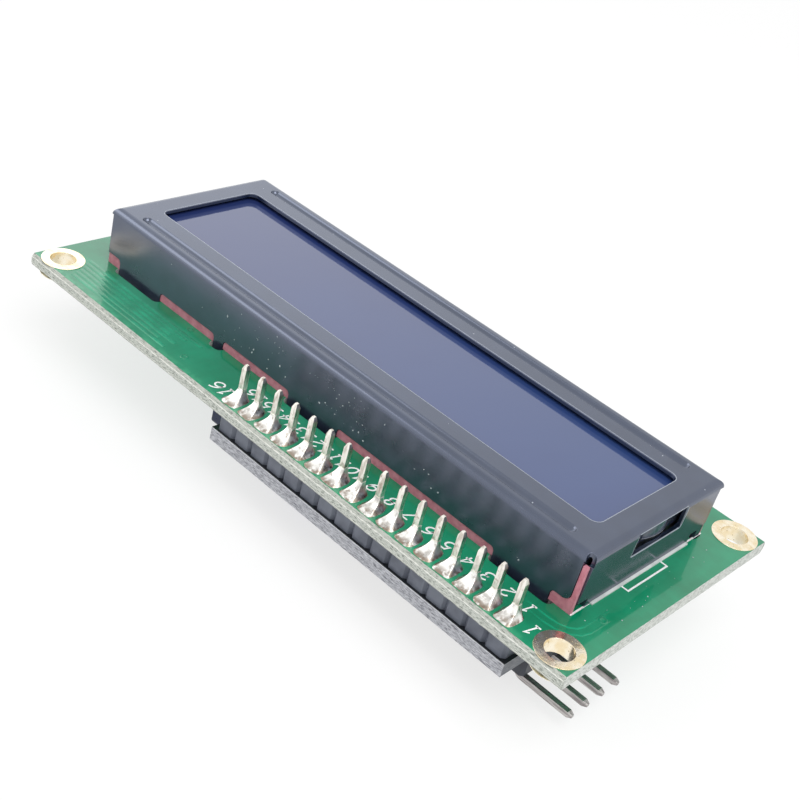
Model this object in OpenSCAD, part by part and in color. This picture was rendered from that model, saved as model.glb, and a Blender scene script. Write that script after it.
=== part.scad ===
// Character display module, two rows of sixteen, with a serial adapter soldered behind it.
// Millimetres. The origin is the centre of the four mounting holes, on the board's front face.
// +X runs along the rows from the pin 1 end, +Y points to the header's edge, +Z out of the display.

/* [Display board] */
// Length of the display board
board_l = 80; // [79:0.5:86]
// Width of the display board
board_w = 36; // [35:0.5:40]
// Thickness of the display board
board_t = 1.6; // [1:0.1:2]
// Distance from a mounting hole to the edges of the board
hole_edge = 2.5; // [2.5:0.05:3]
// Clear bore of a mounting hole
hole_d = 3; // [2.5:0.1:3.4]
// Diameter of the plated ring round a mounting hole
ring_d = 5; // [4.4:0.1:5.2]
// Thickness of the hole plating
plating_t = 0.06; // [0.04:0.01:0.12]
// Depth of the scored groove along each long edge
score_depth = 0.45; // [0.2:0.05:0.5]
// Width of the scored bevel on each face
score_w = 0.3; // [0.1:0.05:0.5]

/* [Pin header] */
// Number of header pins
pin_count = 16; // [8:1:16]
// Distance from pin to pin
pitch = 2.54; // [2:0.01:2.54]
// Side of a square pin
pin_w = 0.64; // [0.5:0.02:0.66]
// Length of a pin's tapered tip
tip_l = 0.5; // [0.2:0.1:0.8]
// Distance from the header row to the long edge of the display board
header_edge = 2.5; // [2.2:0.1:2.8]
// Distance from pin 1 to the short edge of the display board
pin1_edge = 8; // [7.8:0.1:9]
// Height of the plastic spacer between the boards
spacer_h = 2.54; // [2.2:0.02:8.5]
// Chamfer between the spacer's segments
segment_cut = 0.34; // [0.1:0.02:0.5]
// Pin length above the display board
pin_above = 4.2; // [3:0.1:8]
// Pin length below the adapter board
pin_below = 1.35; // [1.1:0.05:3]
// Drilled hole for a pin
pin_hole_d = 1; // [0.96:0.02:1.1]

/* [Bezel] */
// Length of the bezel
bezel_l = 70.8; // [70.2:0.1:71.4]
// Width of the bezel
bezel_w = 23.4; // [23:0.1:24.2]
// Height of the bezel above the board
bezel_h = 7; // [6.4:0.1:9]
// Shift of the bezel towards the header
bezel_y = -0.7; // [-1:0.1:0]
// Thickness of the bezel's sheet
sheet_t = 0.5; // [0.4:0.05:0.6]
// Outside radius of the bezel's bends
bend_r = 0.85; // [0.7:0.05:1.1]
// How far the end walls lean in at their foot
end_lean = 0.2; // [0:0.05:0.35]
// Length of the display window
window_l = 64.8; // [60:0.2:65]
// Width of the display window
window_w = 14.4; // [12:0.1:16]
// Shift of the display window from the bezel's middle line
window_y = -0.1; // [-0.5:0.05:0.5]
// Corner radius of the display window
window_r = 1; // [0.3:0.1:2]
// Length of a pressed bead
bead_l = 63.8; // [50:0.2:66]
// Width of a pressed bead
bead_w = 1.2; // [0.8:0.05:1.3]
// Depth of a pressed bead
bead_drop = 0.4; // [0.2:0.05:0.45]
// Distance from a bead's middle to the bezel's long edge
bead_inset = 1.8; // [1.6:0.05:2]
// Height of the slits between the feet
slit_h = 1.05; // [0.6:0.05:1.6]
// Corner radius of the slits
slit_r = 0.5; // [0.1:0.05:0.55]
// Distance from the middle of the bezel to its outer feet
foot_x = 29.2; // [28:0.1:29.4]
// Width of a foot
foot_w = 7.4; // [5:0.1:7.6]
// Distance from the middle of the bezel to its narrow tab
tab_x = 15.2; // [12:0.1:18]
// Width of a narrow tab
tab_w = 1.5; // [1:0.1:2]
// Width of a lug behind a foot
lug_w = 3; // [2:0.1:4]
// Length of a lug behind the board
lug_out = 1; // [0.6:0.1:1.6]
// Twist of a lug behind the board
lug_twist = 38; // [20:1:60]
// Width of a slot in the board for a foot
slot_w = 1.4; // [1.1:0.05:1.8]
// Length of a slot beyond its foot
slot_spare = 0.5; // [0.4:0.05:1]
// Width of the tab at the foot of an end wall
end_tab_w = 1; // [0.8:0.1:1.2]
// Height of the notches at the foot of an end wall
end_notch_h = 1.1; // [0.6:0.05:1.5]
// Distance from the bezel's middle line to the notches in its end walls
end_notch_y = [8.7, 9.4]; // [8.2:0.1:9.6]
// Length of the side window
side_window_l = 8.9; // [6:0.1:11]
// Shift of the side window from the bezel's middle line
side_window_y = -0.6; // [-1.5:0.05:1]
// Lower edge of the side window above the board
side_window_z = 3.65; // [3:0.05:4.4]
// Gap between a long wall and the inside of the end wall at an open corner
corner_gap = 0.35; // [0.2:0.05:0.6]
// Distance from a long wall to the outside of the end wall at a closed corner
corner_step = 0.25; // [0.1:0.05:0.4]
// Height of the notch at a corner of the long walls
corner_h = 1.3; // [0.8:0.05:1.8]
// How much longer the notch is at an open corner
corner_spare = 0.45; // [0:0.05:0.6]
// Radius of the relief hole in an open corner
relief_r = 0.5; // [0.3:0.05:0.7]

/* [Display cell] */
// Thickness of one glass
glass_t = 1.1; // [0.7:0.05:1.1]
// Thickness of a polarising film
film_t = 0.2; // [0.1:0.05:0.3]
// Gap between the cell and the bezel's walls
cell_gap = 0.2; // [0.1:0.05:0.4]
// Gap between the cell and the bezel's end walls
cell_end_gap = 0.5; // [0.3:0.05:0.6]
// Thickness of a contact strip
strip_w = 2.1; // [1.6:0.1:2.4]
// Gap beside a contact strip
strip_gap = 0.1; // [0.05:0.05:0.3]
// How far a contact strip's bulges stay behind the face of the long walls
bulge_inset = 0.1; // [0.05:0.05:0.3]
// Height of a contact strip's bulge in a corner
bulge_top = 5.6; // [4.8:0.1:5.8]
// Thickness of the diffuser film
diffuser_t = 0.15; // [0.1:0.05:0.25]
// Thickness of the reflector film
reflector_t = 0.15; // [0.1:0.05:0.25]
// How far the reflector film stands out under the end wall
reflector_out = 0.3; // [0.2:0.05:0.5]
// Width of the fill plug on the cell's end
plug_w = 4.8; // [3:0.1:6]
// Shift of the fill plug from the bezel's middle line
plug_y = -1.5; // [-2:0.1:1]
// How far the fill plug stands out of the cell
plug_out = 0.45; // [0.2:0.05:0.5]
// Length of the backlight lamp
lamp_l = 8; // [5:0.5:12]
// Thickness of the backlight lamp
lamp_t = 1.6; // [1:0.1:2]
// Distance between the lamp's leads
lamp_lead_gap = 5.08; // [2.54:0.01:6]

/* [Parts behind the display board] */
// Diameter of a driver's resin glob
glob_d = 14; // [10:0.5:16]
// Height of a resin glob
glob_h = 1.4; // [0.8:0.1:1.8]
// Distance from the board's middle to a glob
glob_x = 15.5; // [10:0.5:20]
// Shift of the globs from the board's middle line
glob_y = -4; // [-6:0.5:0]

/* [Adapter board] */
// Length of the adapter board
adapter_l = 41.5; // [40:0.5:44]
// Width of the adapter board
adapter_w = 19; // [18.5:0.5:22]
// Thickness of the adapter board
adapter_t = 1.6; // [1:0.1:2]
// Distance from the adapter to the short edge of the display board
adapter_inset = 6.3; // [6:0.1:6.6]
// Distance from the header row to the adapter's long edge
adapter_edge = 1.6; // [1.4:0.1:2]

/* [Adapter parts] */
// Length of the expander chip's body
chip_l = 10.3; // [10:0.1:11]
// Width of the expander chip's body
chip_w = 7.5; // [7:0.1:7.6]
// Height of the expander chip
chip_h = 2.35; // [2:0.05:2.65]
// Distance over the expander chip's leads
chip_span = 10.3; // [10:0.1:10.6]
// Distance from lead to lead of the chip
lead_pitch = 1.27; // [1.2:0.01:1.27]
// Width of the trimmer's body along the row
trimmer_l = 6.8; // [6.4:0.1:7.2]
// Width of the trimmer's body across the row
trimmer_w = 7; // [6.6:0.1:7.4]
// Height of the trimmer's body
trimmer_h = 4.9; // [4:0.1:6]
// Diameter of the trimmer's rotor
rotor_d = 4; // [3:0.1:5]
// Thickness of the trimmer's rotor
rotor_t = 1.1; // [0.8:0.1:1.6]
// How far the rotor stands out of the trimmer
rotor_out = 0.3; // [0:0.05:0.6]
// Diameter of the rotor's stem
stem_d = 1.6; // [1:0.1:2]
// Running clearance round the rotor
rotor_gap = 0.15; // [0.1:0.05:0.3]
// Running clearance round the stem
stem_gap = 0.05; // [0.03:0.01:0.1]

/* [Side headers] */
// Number of pins in the side header
side_pins = 4; // [2:1:5]
// Number of pins in the jumper header
jumper_pin_count = 2; // [2:1:2]
// Height of a side header's block
block_h = 2.54; // [2.2:0.02:3]
// Pin length above the adapter board
side_pin_up = 0.9; // [0.7:0.05:1]
// Distance from a block to the middle of the bent pins
bend_drop = 0.92; // [0.9:0.02:2]
// Bend radius at the middle of a pin
pin_bend_r = 0.8; // [0.5:0.05:0.85]
// Reach of a bent pin from the middle of its block
pin_reach = 7; // [5:0.1:7.4]
// Length of the jumper cap
cap_l = 6; // [5:0.1:6.5]
// Width of the jumper cap
cap_w = 5; // [4.6:0.02:5.2]
// Height of the jumper cap
cap_h = 2.5; // [2:0.05:2.8]
// Corner radius of the jumper cap
cap_r = 0.6; // [0.2:0.05:0.9]
// Clearance round a pin in the jumper cap
cap_pin_gap = 0.05; // [0.03:0.01:0.1]

/* [Hidden] */
$fn = 48;

// Cuts run this far past the faces that they open
over = 1;

// Heights of the main faces
board_back = -board_t;
adapter_face = board_back - spacer_h;
adapter_back = adapter_face - adapter_t;

// Distances between the mounting holes
hole_dx = board_l - 2 * hole_edge;
hole_dy = board_w - 2 * hole_edge;

// Header row
header_y = board_w / 2 - header_edge;
function pin_x(i) = -board_l / 2 + pin1_edge + i * pitch;

// Inside of the bezel, measured from its own middle
inner_l = bezel_l - 2 * sheet_t;
inner_w = bezel_w - 2 * sheet_t;
foot_depth = 0.7 * board_t;
strip_clear = 0.2;
side_window_rise = 0.25;
side_window_top = bezel_h - bend_r + side_window_rise;
side_window_cut = 0.5;
end_foot_x = bezel_l / 2 - end_lean;

// The bezel looks the same after half a turn: each long wall has an open corner at one end,
// where it stops short of the end wall, and a closed one at the other, where it covers its edge
open_end = bezel_l / 2 - sheet_t - corner_gap;
closed_end = bezel_l / 2 - corner_step;
end_wall_gap = 0.1;
end_wall_y = bezel_w / 2 - sheet_t - end_wall_gap;
corner_top = bezel_h - bend_r;
corner_turn_r = 0.8;
end_tab_y = end_wall_y - end_tab_w / 2;
end_slot_spare = 0.7;
end_slot_w = sheet_t + 0.4;
end_foot_cut = 2 * (sheet_t + end_lean + over / 4);
relief_in = 0.35;

// Contact strips bulge into the bezel's openings with this gap all round
bulge_gap = 0.05;
bulge_end = closed_end - bulge_gap;

// Radius of a bead's round bottom
bead_r = (pow(bead_w / 2, 2) + pow(bead_drop, 2)) / (2 * bead_drop);

// Cell and backlight, stacked from the bezel's plate down to the board
cell_top = bezel_h - sheet_t - bead_drop;
front_glass_z = cell_top - film_t - glass_t;
rear_glass_z = front_glass_z - glass_t;
rear_film_z = rear_glass_z - film_t;
diffuser_z = rear_film_z - diffuser_t;
cell_l = bezel_l - 2 * sheet_t - 2 * cell_end_gap;
front_glass_w = inner_w - 2 * cell_gap;
film_edge = 0.4;
film_end = 1;
rear_film_end = 0.1;
front_film_w = front_glass_w - 2 * film_edge;
strip_y = inner_w / 2 - cell_gap - strip_w / 2;
rear_w = 2 * (strip_y - strip_w / 2 - strip_gap);
film_l = cell_l - 2 * film_end;
rear_film_l = cell_l - 2 * rear_film_end;
guide_end = 0.8;
guide_l = cell_l - 2 * guide_end;
reflector_side = 0.3;
reflector_w = rear_w - 2 * reflector_side;
reflector_gap = 0.05;
strip_end_gap = 0.15;
lamp_wall = 0.4;
lamp_x = guide_l / 2 - lamp_t / 2 - lamp_wall;
lamp_gap = 0.1;
lamp_lead_w = 0.5;
lamp_lead_t = 0.25;
lamp_lead_hole = 0.8;
lamp_lead_tail = 0.8;
plug_h = 1.7;

// Adapter board, placed by the header's row and by pin 1's end
adapter_x = -board_l / 2 + adapter_inset + adapter_l / 2;
adapter_y = header_y + adapter_edge - adapter_w / 2;
side_x = adapter_x - adapter_l / 2 + pitch / 2;
jumper_x = adapter_x + adapter_l / 2 - pitch / 2;
side_pin_z = adapter_back - block_h - bend_drop;
cap_gap = 1;

// Places on the adapter's back, measured from the adapter's middle
chip_at = [-5.5, -1.2];
trimmer_at = [11, -1];
transistor_at = [3.6, 3.4];
power_lamp_at = [-16, -7.2];
adapter_resistor_at = [
  [-14.6, 3.4, 90], [-14.6, -0.6, 90], [2.2, -0.4, 90], [4.6, -0.4, 90], [4.4, -5, 0], [-12.6, -7.2, 0]
];
adapter_capacitor_at = [[1.2, -5, 0], [-12.4, 3.4, 90]];
trimmer_lead_at = [[-2.54, 1.8], [2.54, 1.8], [0, -2.5]];
trimmer_lead_d = 0.6;
trimmer_lead_hole = 0.8;
trimmer_lead_up = 0.6;
trimmer_foot = 0.3;
trimmer_foot_in = 0.6;
trimmer_foot_r = 0.5;
trimmer_r = 0.3;
rotor_recess = rotor_t - rotor_out + rotor_gap;
stem_l = 1.8;
driver_slot_l = 0.72 * rotor_d;
driver_slot_w = 0.6;
driver_slot_d = 0.5;

// Chip body above the board, and the sizes of its leads
chip_stand = 0.1;
chip_lead_w = 0.42;
chip_lead_t = 0.25;
chip_lead_foot = 0.75;
chip_dot_in = 1.3;
chip_dot_d = 1;
chip_dot_depth = 0.1;
transistor_size = [2.9, 1.3, 1];
transistor_lead_x = 0.95;
transistor_lead = [0.55, 0.6, 0.3, 0.42, 0.13];

// Places behind the display board, measured from its middle
lcd_resistor_at = [
  [0, -1, 90], [2.4, -1, 90], [4.8, -1, 90], [0, -5, 90], [2.4, -5, 90], [4.8, -5, 90],
  [-27, -6, 0], [-27, -8.4, 0]
];
lcd_capacitor_at = [[-26.2, -10.8, 0], [28.5, -4, 90]];

// Chip resistors and capacitors: length, width, height, end cap
resistor_size = [2, 1.25, 0.5, 0.35];
capacitor_size = [2, 1.25, 1, 0.45];
lamp_base_size = [2, 1.25, 0.35, 0.4];
lamp_lens_size = [1.2, 1.15, 0.5];
lamp_lens_sunk = 0.05;

// Drop of solder on a round lead: foot radius, top radius, height
lead_drop = [0.75, 0.4, 0.45];

// Solder on the header pins: an oval foot, wider towards the board's edge
fillet_h = 1.5;
pad_w = 2;
pad_l = 3;
pad_shift = 0.6;
pad_fan = 0.18;
joint_r = 0.9;
joint_h = 0.75;

// A bar along X or along Y with a given section
module along_x(length)
  rotate([90, 0, 90])
    linear_extrude(length, center = true)
      children();

module along_y(length)
  rotate([90, 0, 0])
    linear_extrude(length, center = true)
      children();

module slot_2d(length, width) {
  square([length - width, width], center = true);
  for (side = [-1, 1])
    translate([side * (length - width) / 2, 0])
      circle(d = width);
}

module rounded_2d(length, width, r) {
  square([length - 2 * r, width], center = true);
  square([length, width - 2 * r], center = true);
  for (sx = [-1, 1], sy = [-1, 1])
    translate([sx * (length / 2 - r), sy * (width / 2 - r)])
      circle(r);
}

// A flat layer centred on the bezel, from z upwards
module layer(length, width, z, thickness)
  translate([-length / 2, bezel_y - width / 2, z])
    cube([length, width, thickness]);

module at_mount_holes()
  for (sx = [-1, 1], sy = [-1, 1])
    translate([sx * hole_dx / 2, sy * hole_dy / 2, 0])
      children();

module at_header_pins()
  for (i = [0 : pin_count - 1])
    translate([pin_x(i), header_y, 0])
      children();

// Feet and narrow tabs of the bezel's long walls, as [middle, width, lug width]
feet = [
  [-foot_x, foot_w, lug_w], [0, foot_w, lug_w], [foot_x, foot_w, lug_w], [tab_x, tab_w, tab_w]
];

// Twice, half a turn apart about the middle of a shape
module half_turns()
  for (turn = [0, 180])
    rotate(turn)
      children();

module at_long_walls()
  translate([0, bezel_y, 0])
    half_turns()
      translate([0, bezel_w / 2 - sheet_t / 2, 0])
        children();

module at_end_tabs()
  translate([0, bezel_y, 0])
    half_turns()
      translate([sheet_t / 2 - end_foot_x, -end_tab_y, 0])
        rotate(90)
          children();

// Section across the display board, with the scored bevels on both long edges
module board_section() {
  half = board_w / 2;
  polygon([
    [-half + score_w, 0], [half - score_w, 0], [half, -score_depth], [half, score_depth - board_t],
    [half - score_w, -board_t], [-half + score_w, -board_t], [-half, score_depth - board_t],
    [-half, -score_depth]
  ]);
}

module board_slot(length, width)
  translate([0, 0, -board_t - over])
    linear_extrude(board_t + 2 * over)
      slot_2d(length, width);

// The slots for the long walls' feet leave more room outside the bezel than inside
module board_slots() {
  at_long_walls()
    for (foot = feet)
      translate([foot[0], slot_w / 2 - strip_clear - sheet_t / 2, 0])
        board_slot(foot[1] + slot_spare, slot_w);
  at_end_tabs()
    board_slot(end_tab_w + end_slot_spare, end_slot_w);
}

module lcd_board()
  color("seagreen")
    difference() {
      along_x(board_l)
        board_section();
      at_mount_holes()
        cylinder(h = 4 * board_t, d = hole_d + 2 * plating_t, center = true);
      at_header_pins()
        cylinder(h = 4 * board_t, d = pin_hole_d, center = true);
      at_lamp_leads()
        cylinder(h = 4 * board_t, d = lamp_lead_hole, center = true);
      board_slots();
    }

// Barrel and both rings of each plated hole
module hole_plating()
  color("khaki")
    at_mount_holes()
      rotate_extrude()
        polygon([
          [hole_d / 2, plating_t], [ring_d / 2, plating_t], [ring_d / 2, 0],
          [hole_d / 2 + plating_t, 0], [hole_d / 2 + plating_t, -board_t], [ring_d / 2, -board_t],
          [ring_d / 2, -board_t - plating_t], [hole_d / 2, -board_t - plating_t]
        ]);

// Outline of the folded bezel: round bends, and walls that lean in down to the board
module fold_2d(half, top, r, bottom, lean) {
  polygon([
    [-half + lean, bottom], [half - lean, bottom], [half - lean, 0], [half, top - r],
    [-half, top - r], [-half + lean, 0]
  ]);
  translate([-half + r, 0])
    square([2 * (half - r), top]);
  for (side = [-1, 1])
    translate([side * (half - r), top - r])
      circle(r);
}

module bezel_block(inset, bottom)
  intersection() {
    along_x(bezel_l - 2 * inset)
      fold_2d(bezel_w / 2 - inset, bezel_h - inset, bend_r - inset, bottom, 0);
    along_y(bezel_w - 2 * inset)
      fold_2d(bezel_l / 2 - inset, bezel_h - inset, bend_r - inset, bottom, end_lean);
  }

// Opening at the foot of a long wall from x = a to x = b, or what fills it with a gap
module slit_2d(a, b, gap) {
  r = slit_r - gap;
  translate([a + gap, -board_t])
    square([b - a - 2 * gap, board_t + slit_h - slit_r]);
  translate([a + slit_r, -board_t])
    square([b - a - 2 * slit_r, board_t + slit_h - gap]);
  for (x = [a + slit_r, b - slit_r])
    translate([x, slit_h - slit_r])
      circle(r);
}

// Each slit runs from one foot to the next one
module slits_2d(gap) {
  half = foot_w / 2;
  slit_2d(-foot_x + half, -half, gap);
  slit_2d(half, tab_x - tab_w / 2, gap);
  slit_2d(tab_x + tab_w / 2, foot_x - half, gap);
}

// Notch at the foot of a long wall's end
module notch_2d(start, end, gap) {
  translate([start + gap, -board_t])
    square([end - start - gap, board_t + corner_h - slit_r]);
  translate([start + slit_r, -board_t])
    square([end - start - slit_r, board_t + corner_h - gap]);
  translate([start + slit_r, corner_h - slit_r])
    circle(slit_r - gap);
}

// Slot beside an open end, from the notch up to the bend, with a rounded corner between them
module corner_slot_2d(end, top, gap) {
  turn_r = corner_turn_r + gap;
  translate([open_end + gap, 0])
    square([end - open_end - gap, top]);
  difference() {
    translate([open_end + gap - turn_r, corner_h - gap - over / 2])
      square([turn_r + over / 4, turn_r + over / 2]);
    translate([open_end + gap - turn_r, corner_h - gap + turn_r])
      circle(turn_r);
  }
}

// Both ends of a long wall, with the open one on the left
module corners_2d(end, top, gap) {
  start = foot_x + foot_w / 2;
  notch_2d(start, end, gap);
  mirror([1, 0]) {
    notch_2d(start - corner_spare, end, gap);
    corner_slot_2d(end, top, gap);
  }
}

// What is open at both ends of one long wall, with the relief hole over its open end
module wall_opening() {
  depth = sheet_t + end_wall_gap;
  translate([0, bezel_w / 2 - depth / 2 + over / 2, 0])
    along_y(depth + over) {
      slits_2d(0);
      corners_2d(bezel_l / 2 + over, corner_top, 0);
      translate([closed_end, 0])
        square([corner_step + over, corner_top]);
    }
  translate([relief_in - bezel_l / 2, bezel_w / 2 - relief_in, corner_top - sheet_t])
    cylinder(h = bend_r + sheet_t + over, r = relief_r);
}

// An end wall stands on the board between two notches, with its tab in a corner
module end_wall_foot()
  translate([-bezel_l / 2, 0, 0])
    along_x(end_foot_cut) {
      translate([-end_tab_y + end_tab_w / 2, -board_t])
        square([bezel_w / 2 + over + end_tab_y - end_tab_w / 2, board_t]);
      translate([-end_tab_y + end_tab_w / 2, -over])
        square([end_tab_y - end_tab_w / 2 - end_notch_y[0], over + end_notch_h]);
      translate([end_notch_y[1], -over])
        square([bezel_w / 2 + over - end_notch_y[1], over + end_notch_h]);
    }

// Room for the film that stands out under the pin 1 end wall
module film_opening() {
  film_room = reflector_w + 2 * reflector_gap;
  translate([-bezel_l / 2, 0, 0])
    along_x(end_foot_cut)
      translate([-film_room / 2, -over])
        square([film_room, over + reflector_t + reflector_gap]);
}

// Window in the pin 1 end wall that shows the cell's edge
module side_window()
  translate([-bezel_l / 2, side_window_y, 0])
    along_x(3 * sheet_t)
      polygon([
        [side_window_l / 2, side_window_z], [side_window_l / 2, side_window_top],
        [-side_window_l / 2, side_window_top],
        [-side_window_l / 2, side_window_z + side_window_cut * 0.6],
        [-side_window_l / 2 + side_window_cut, side_window_z]
      ]);

// Round-bottomed bar that presses a bead this far into the bezel's plate
module bead_bar(r, sunk)
  for (side = [-1, 1])
    translate([0, side * (bezel_w / 2 - bead_inset), bezel_h - sunk + r]) {
      along_x(bead_l - bead_w)
        circle(r);
      for (end = [-1, 1])
        translate([end * (bead_l - bead_w) / 2, 0, 0])
          sphere(r);
    }

// Space between the bezel's plate and the top of the cell
module under_plate()
  translate([-bezel_l / 2, -bezel_w / 2, cell_top])
    cube([bezel_l, bezel_w, bezel_h - sheet_t / 2 - cell_top]);

// One lug: straight through the board, then twisted behind it
module lug(width) {
  translate([-width / 2, -sheet_t / 2, board_back])
    cube([width, sheet_t, board_t]);
  translate([0, 0, board_back - lug_out / 2])
    rotate(lug_twist)
      cube([width, sheet_t, lug_out], center = true);
}

module bezel()
  color("darkslategray")
    difference() {
      union() {
        translate([0, bezel_y, 0])
          difference() {
            bezel_block(0, -foot_depth);
            bezel_block(sheet_t, -foot_depth - over);
            translate([0, window_y, bezel_h - sheet_t - over])
              linear_extrude(sheet_t + 2 * over)
                rounded_2d(window_l, window_w, window_r);
            half_turns() {
              wall_opening();
              end_wall_foot();
            }
            film_opening();
            side_window();
          }
        translate([0, bezel_y, 0])
          intersection() {
            bead_bar(bead_r + sheet_t, bead_drop + sheet_t);
            under_plate();
          }
        at_long_walls()
          for (foot = feet)
            translate([foot[0], 0, 0])
              lug(foot[2]);
        at_end_tabs()
          lug(end_tab_w);
      }
      translate([0, bezel_y, 0])
        bead_bar(bead_r, bead_drop);
    }

module front_polariser()
  color("slateblue")
    layer(film_l, front_film_w, cell_top - film_t, film_t);

module front_glass()
  color("lightsteelblue")
    layer(cell_l, front_glass_w, front_glass_z, glass_t);

module rear_glass()
  color("lightsteelblue")
    layer(cell_l, rear_w, rear_glass_z, glass_t);

module rear_polariser()
  color("mediumblue")
    layer(rear_film_l, rear_w - 2 * film_edge, rear_film_z, film_t);

// Resin that closes the cell's filling hole, a low arc on the end of the glass
module fill_plug() {
  arc_r = (pow(plug_w / 2, 2) + pow(plug_out, 2)) / (2 * plug_out);
  color("dimgray")
    translate([-cell_l / 2, bezel_y + plug_y, front_glass_z - plug_h / 2])
      intersection() {
        translate([arc_r - plug_out, 0, 0])
          cylinder(h = plug_h, r = arc_r, $fn = 96);
        translate([-plug_out - over, -plug_w, -over])
          cube([plug_out + over, 2 * plug_w, plug_h + 2 * over]);
      }
}

// Part of a contact strip that swells into the openings, between two distances from the middle line
module bulge(from, to, end)
  translate([0, (from + to) / 2, 0])
    along_y(to - from)
      intersection() {
        union() {
          slits_2d(bulge_gap);
          corners_2d(bulge_end, bulge_top, bulge_gap);
        }
        translate([-end, 0])
          square([2 * end, bulge_top]);
      }

module elastomer_strip(turn) {
  length = 2 * (end_foot_x - sheet_t - strip_end_gap);
  skin = bezel_w / 2 - bulge_inset;
  color("palevioletred")
    translate([0, bezel_y, 0])
      rotate(turn) {
        translate([-length / 2, strip_y - strip_w / 2, 0])
          cube([length, strip_w, front_glass_z]);
        bulge(strip_y, skin, length / 2);
        bulge(end_wall_y + bulge_gap, skin, bulge_end);
      }
}

module elastomer_strip_near()
  elastomer_strip(0);

module elastomer_strip_far()
  elastomer_strip(180);

module diffuser_film()
  color("whitesmoke")
    layer(guide_l, rear_w, diffuser_z, diffuser_t);

module light_guide()
  color("azure")
    difference() {
      layer(guide_l, rear_w, reflector_t, diffuser_z - reflector_t);
      translate([lamp_x - lamp_t / 2 - lamp_gap, bezel_y - lamp_l / 2 - lamp_gap, reflector_t - over])
        cube([lamp_t + 2 * lamp_gap, lamp_l + 2 * lamp_gap, diffuser_z + over]);
    }

// The film under the light guide stands out under the end wall at pin 1's end
module reflector_film() {
  start = -end_foot_x - reflector_out;
  color("white")
    difference() {
      translate([start, bezel_y - reflector_w / 2, 0])
        cube([guide_l / 2 - start, reflector_w, reflector_t]);
      at_lamp_leads()
        cylinder(h = 4 * reflector_t, d = lamp_lead_hole, center = true);
    }
}

module at_lamp_leads()
  for (side = [-1, 1])
    translate([lamp_x, bezel_y + side * lamp_lead_gap / 2, 0])
      children();

module backlight_lamp()
  color("ivory")
    translate([lamp_x - lamp_t / 2, bezel_y - lamp_l / 2, reflector_t])
      cube([lamp_t, lamp_l, diffuser_z - reflector_t]);

// Leads of the lamp with their solder behind the board
module backlight_leads()
  color("silver")
    at_lamp_leads() {
      translate([-lamp_lead_w / 2, -lamp_lead_t / 2, board_back - lamp_lead_tail])
        cube([lamp_lead_w, lamp_lead_t, board_t + lamp_lead_tail + reflector_t]);
      translate([0, 0, board_back])
        mirror([0, 0, 1])
          cylinder(h = lead_drop[2], r1 = lead_drop[0], r2 = lead_drop[1]);
    }

// Low dome of resin, steep at its rim and nearly flat on top
module glob() {
  steps = 9;
  rim = [for (i = [0 : steps]) let (a = 90 * i / steps)
    [glob_d / 2 * pow(cos(a), 0.55), glob_h * pow(sin(a), 0.9)]];
  mirror([0, 0, 1])
    rotate_extrude($fn = 64)
      polygon(concat([[0, 0]], rim));
}

module controller_glob()
  color("dimgray")
    translate([-glob_x, glob_y, board_back])
      glob();

module driver_glob()
  color("dimgray")
    translate([glob_x, glob_y, board_back])
      glob();

// Surface part with two end caps; size is [length, width, height, end cap]
module chip_part(size) {
  inset = 0.03;
  translate([0, 0, size[2] / 2])
    cube([size[0] - 2 * size[3], size[1] - 2 * inset, size[2] - 2 * inset], center = true);
  for (side = [-1, 1])
    translate([side * (size[0] - size[3]) / 2, 0, size[2] / 2])
      cube([size[3], size[1], size[2]], center = true);
}

module chip_parts(places, size)
  for (place = places)
    translate([place[0], place[1], 0])
      rotate(place[2])
        mirror([0, 0, 1])
          chip_part(size);

module lcd_resistors()
  color("black")
    translate([0, 0, board_back])
      chip_parts(lcd_resistor_at, resistor_size);

module lcd_capacitors()
  color("tan")
    translate([0, 0, board_back])
      chip_parts(lcd_capacitor_at, capacitor_size);

// One segment of header plastic for one pin, with chamfered upright corners
module header_segment(height) {
  half = pitch / 2;
  cut = half - segment_cut;
  linear_extrude(height)
    difference() {
      polygon([
        [-half, -cut], [-cut, -half], [cut, -half], [half, -cut],
        [half, cut], [cut, half], [-cut, half], [-half, cut]
      ]);
      square(pin_w, center = true);
    }
}

module header_spacer()
  color("dimgray")
    at_header_pins()
      translate([0, 0, adapter_face])
        header_segment(spacer_h);

// Tapered end of a square pin, on top of z = 0
module pin_tip()
  rotate(45)
    cylinder(h = tip_l, r1 = pin_w / sqrt(2), r2 = pin_w / sqrt(2) / 2, $fn = 4);

module header_pins()
  color("gainsboro")
    at_header_pins() {
      translate([-pin_w / 2, -pin_w / 2, adapter_back - pin_below + tip_l])
        cube([pin_w, pin_w, pin_below + pin_above - adapter_back - 2 * tip_l]);
      translate([0, 0, pin_above - tip_l])
        pin_tip();
      translate([0, 0, adapter_back - pin_below + tip_l])
        mirror([0, 0, 1])
          pin_tip();
    }

// Hand-soldered fillet: a fan-shaped foot that draws in to the pin, with the pin's square hole
module solder_fillet(height, width, length, shift) {
  sides = 16;
  levels = 4;
  hole = pin_w / 2;
  neck = hole * 1.45;
  turn = [for (i = [0 : sides - 1]) 360 * i / sides];
  outer = [for (k = [0 : levels]) let (t = k / levels, open = pow(1 - t, 1.8))
    for (a = turn) [
      cos(a) * (neck + (width / 2 - neck) * open) * (1 + pad_fan * sin(a) * open),
      sin(a) * (neck + (length / 2 - neck) * open) + shift * open,
      height * t
    ]];
  inner = [for (z = [height, 0]) for (a = turn)
    let (reach = hole / max(abs(cos(a)), abs(sin(a)))) [cos(a) * reach, sin(a) * reach, z]];
  rings = levels + 3;
  polyhedron(
    points = concat(outer, inner),
    faces = [for (k = [0 : rings - 1]) for (i = [0 : sides - 1])
      let (j = (i + 1) % sides, n = (k + 1) % rings)
      [k * sides + i, n * sides + i, n * sides + j, k * sides + j]],
    convexity = 4
  );
}

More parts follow.
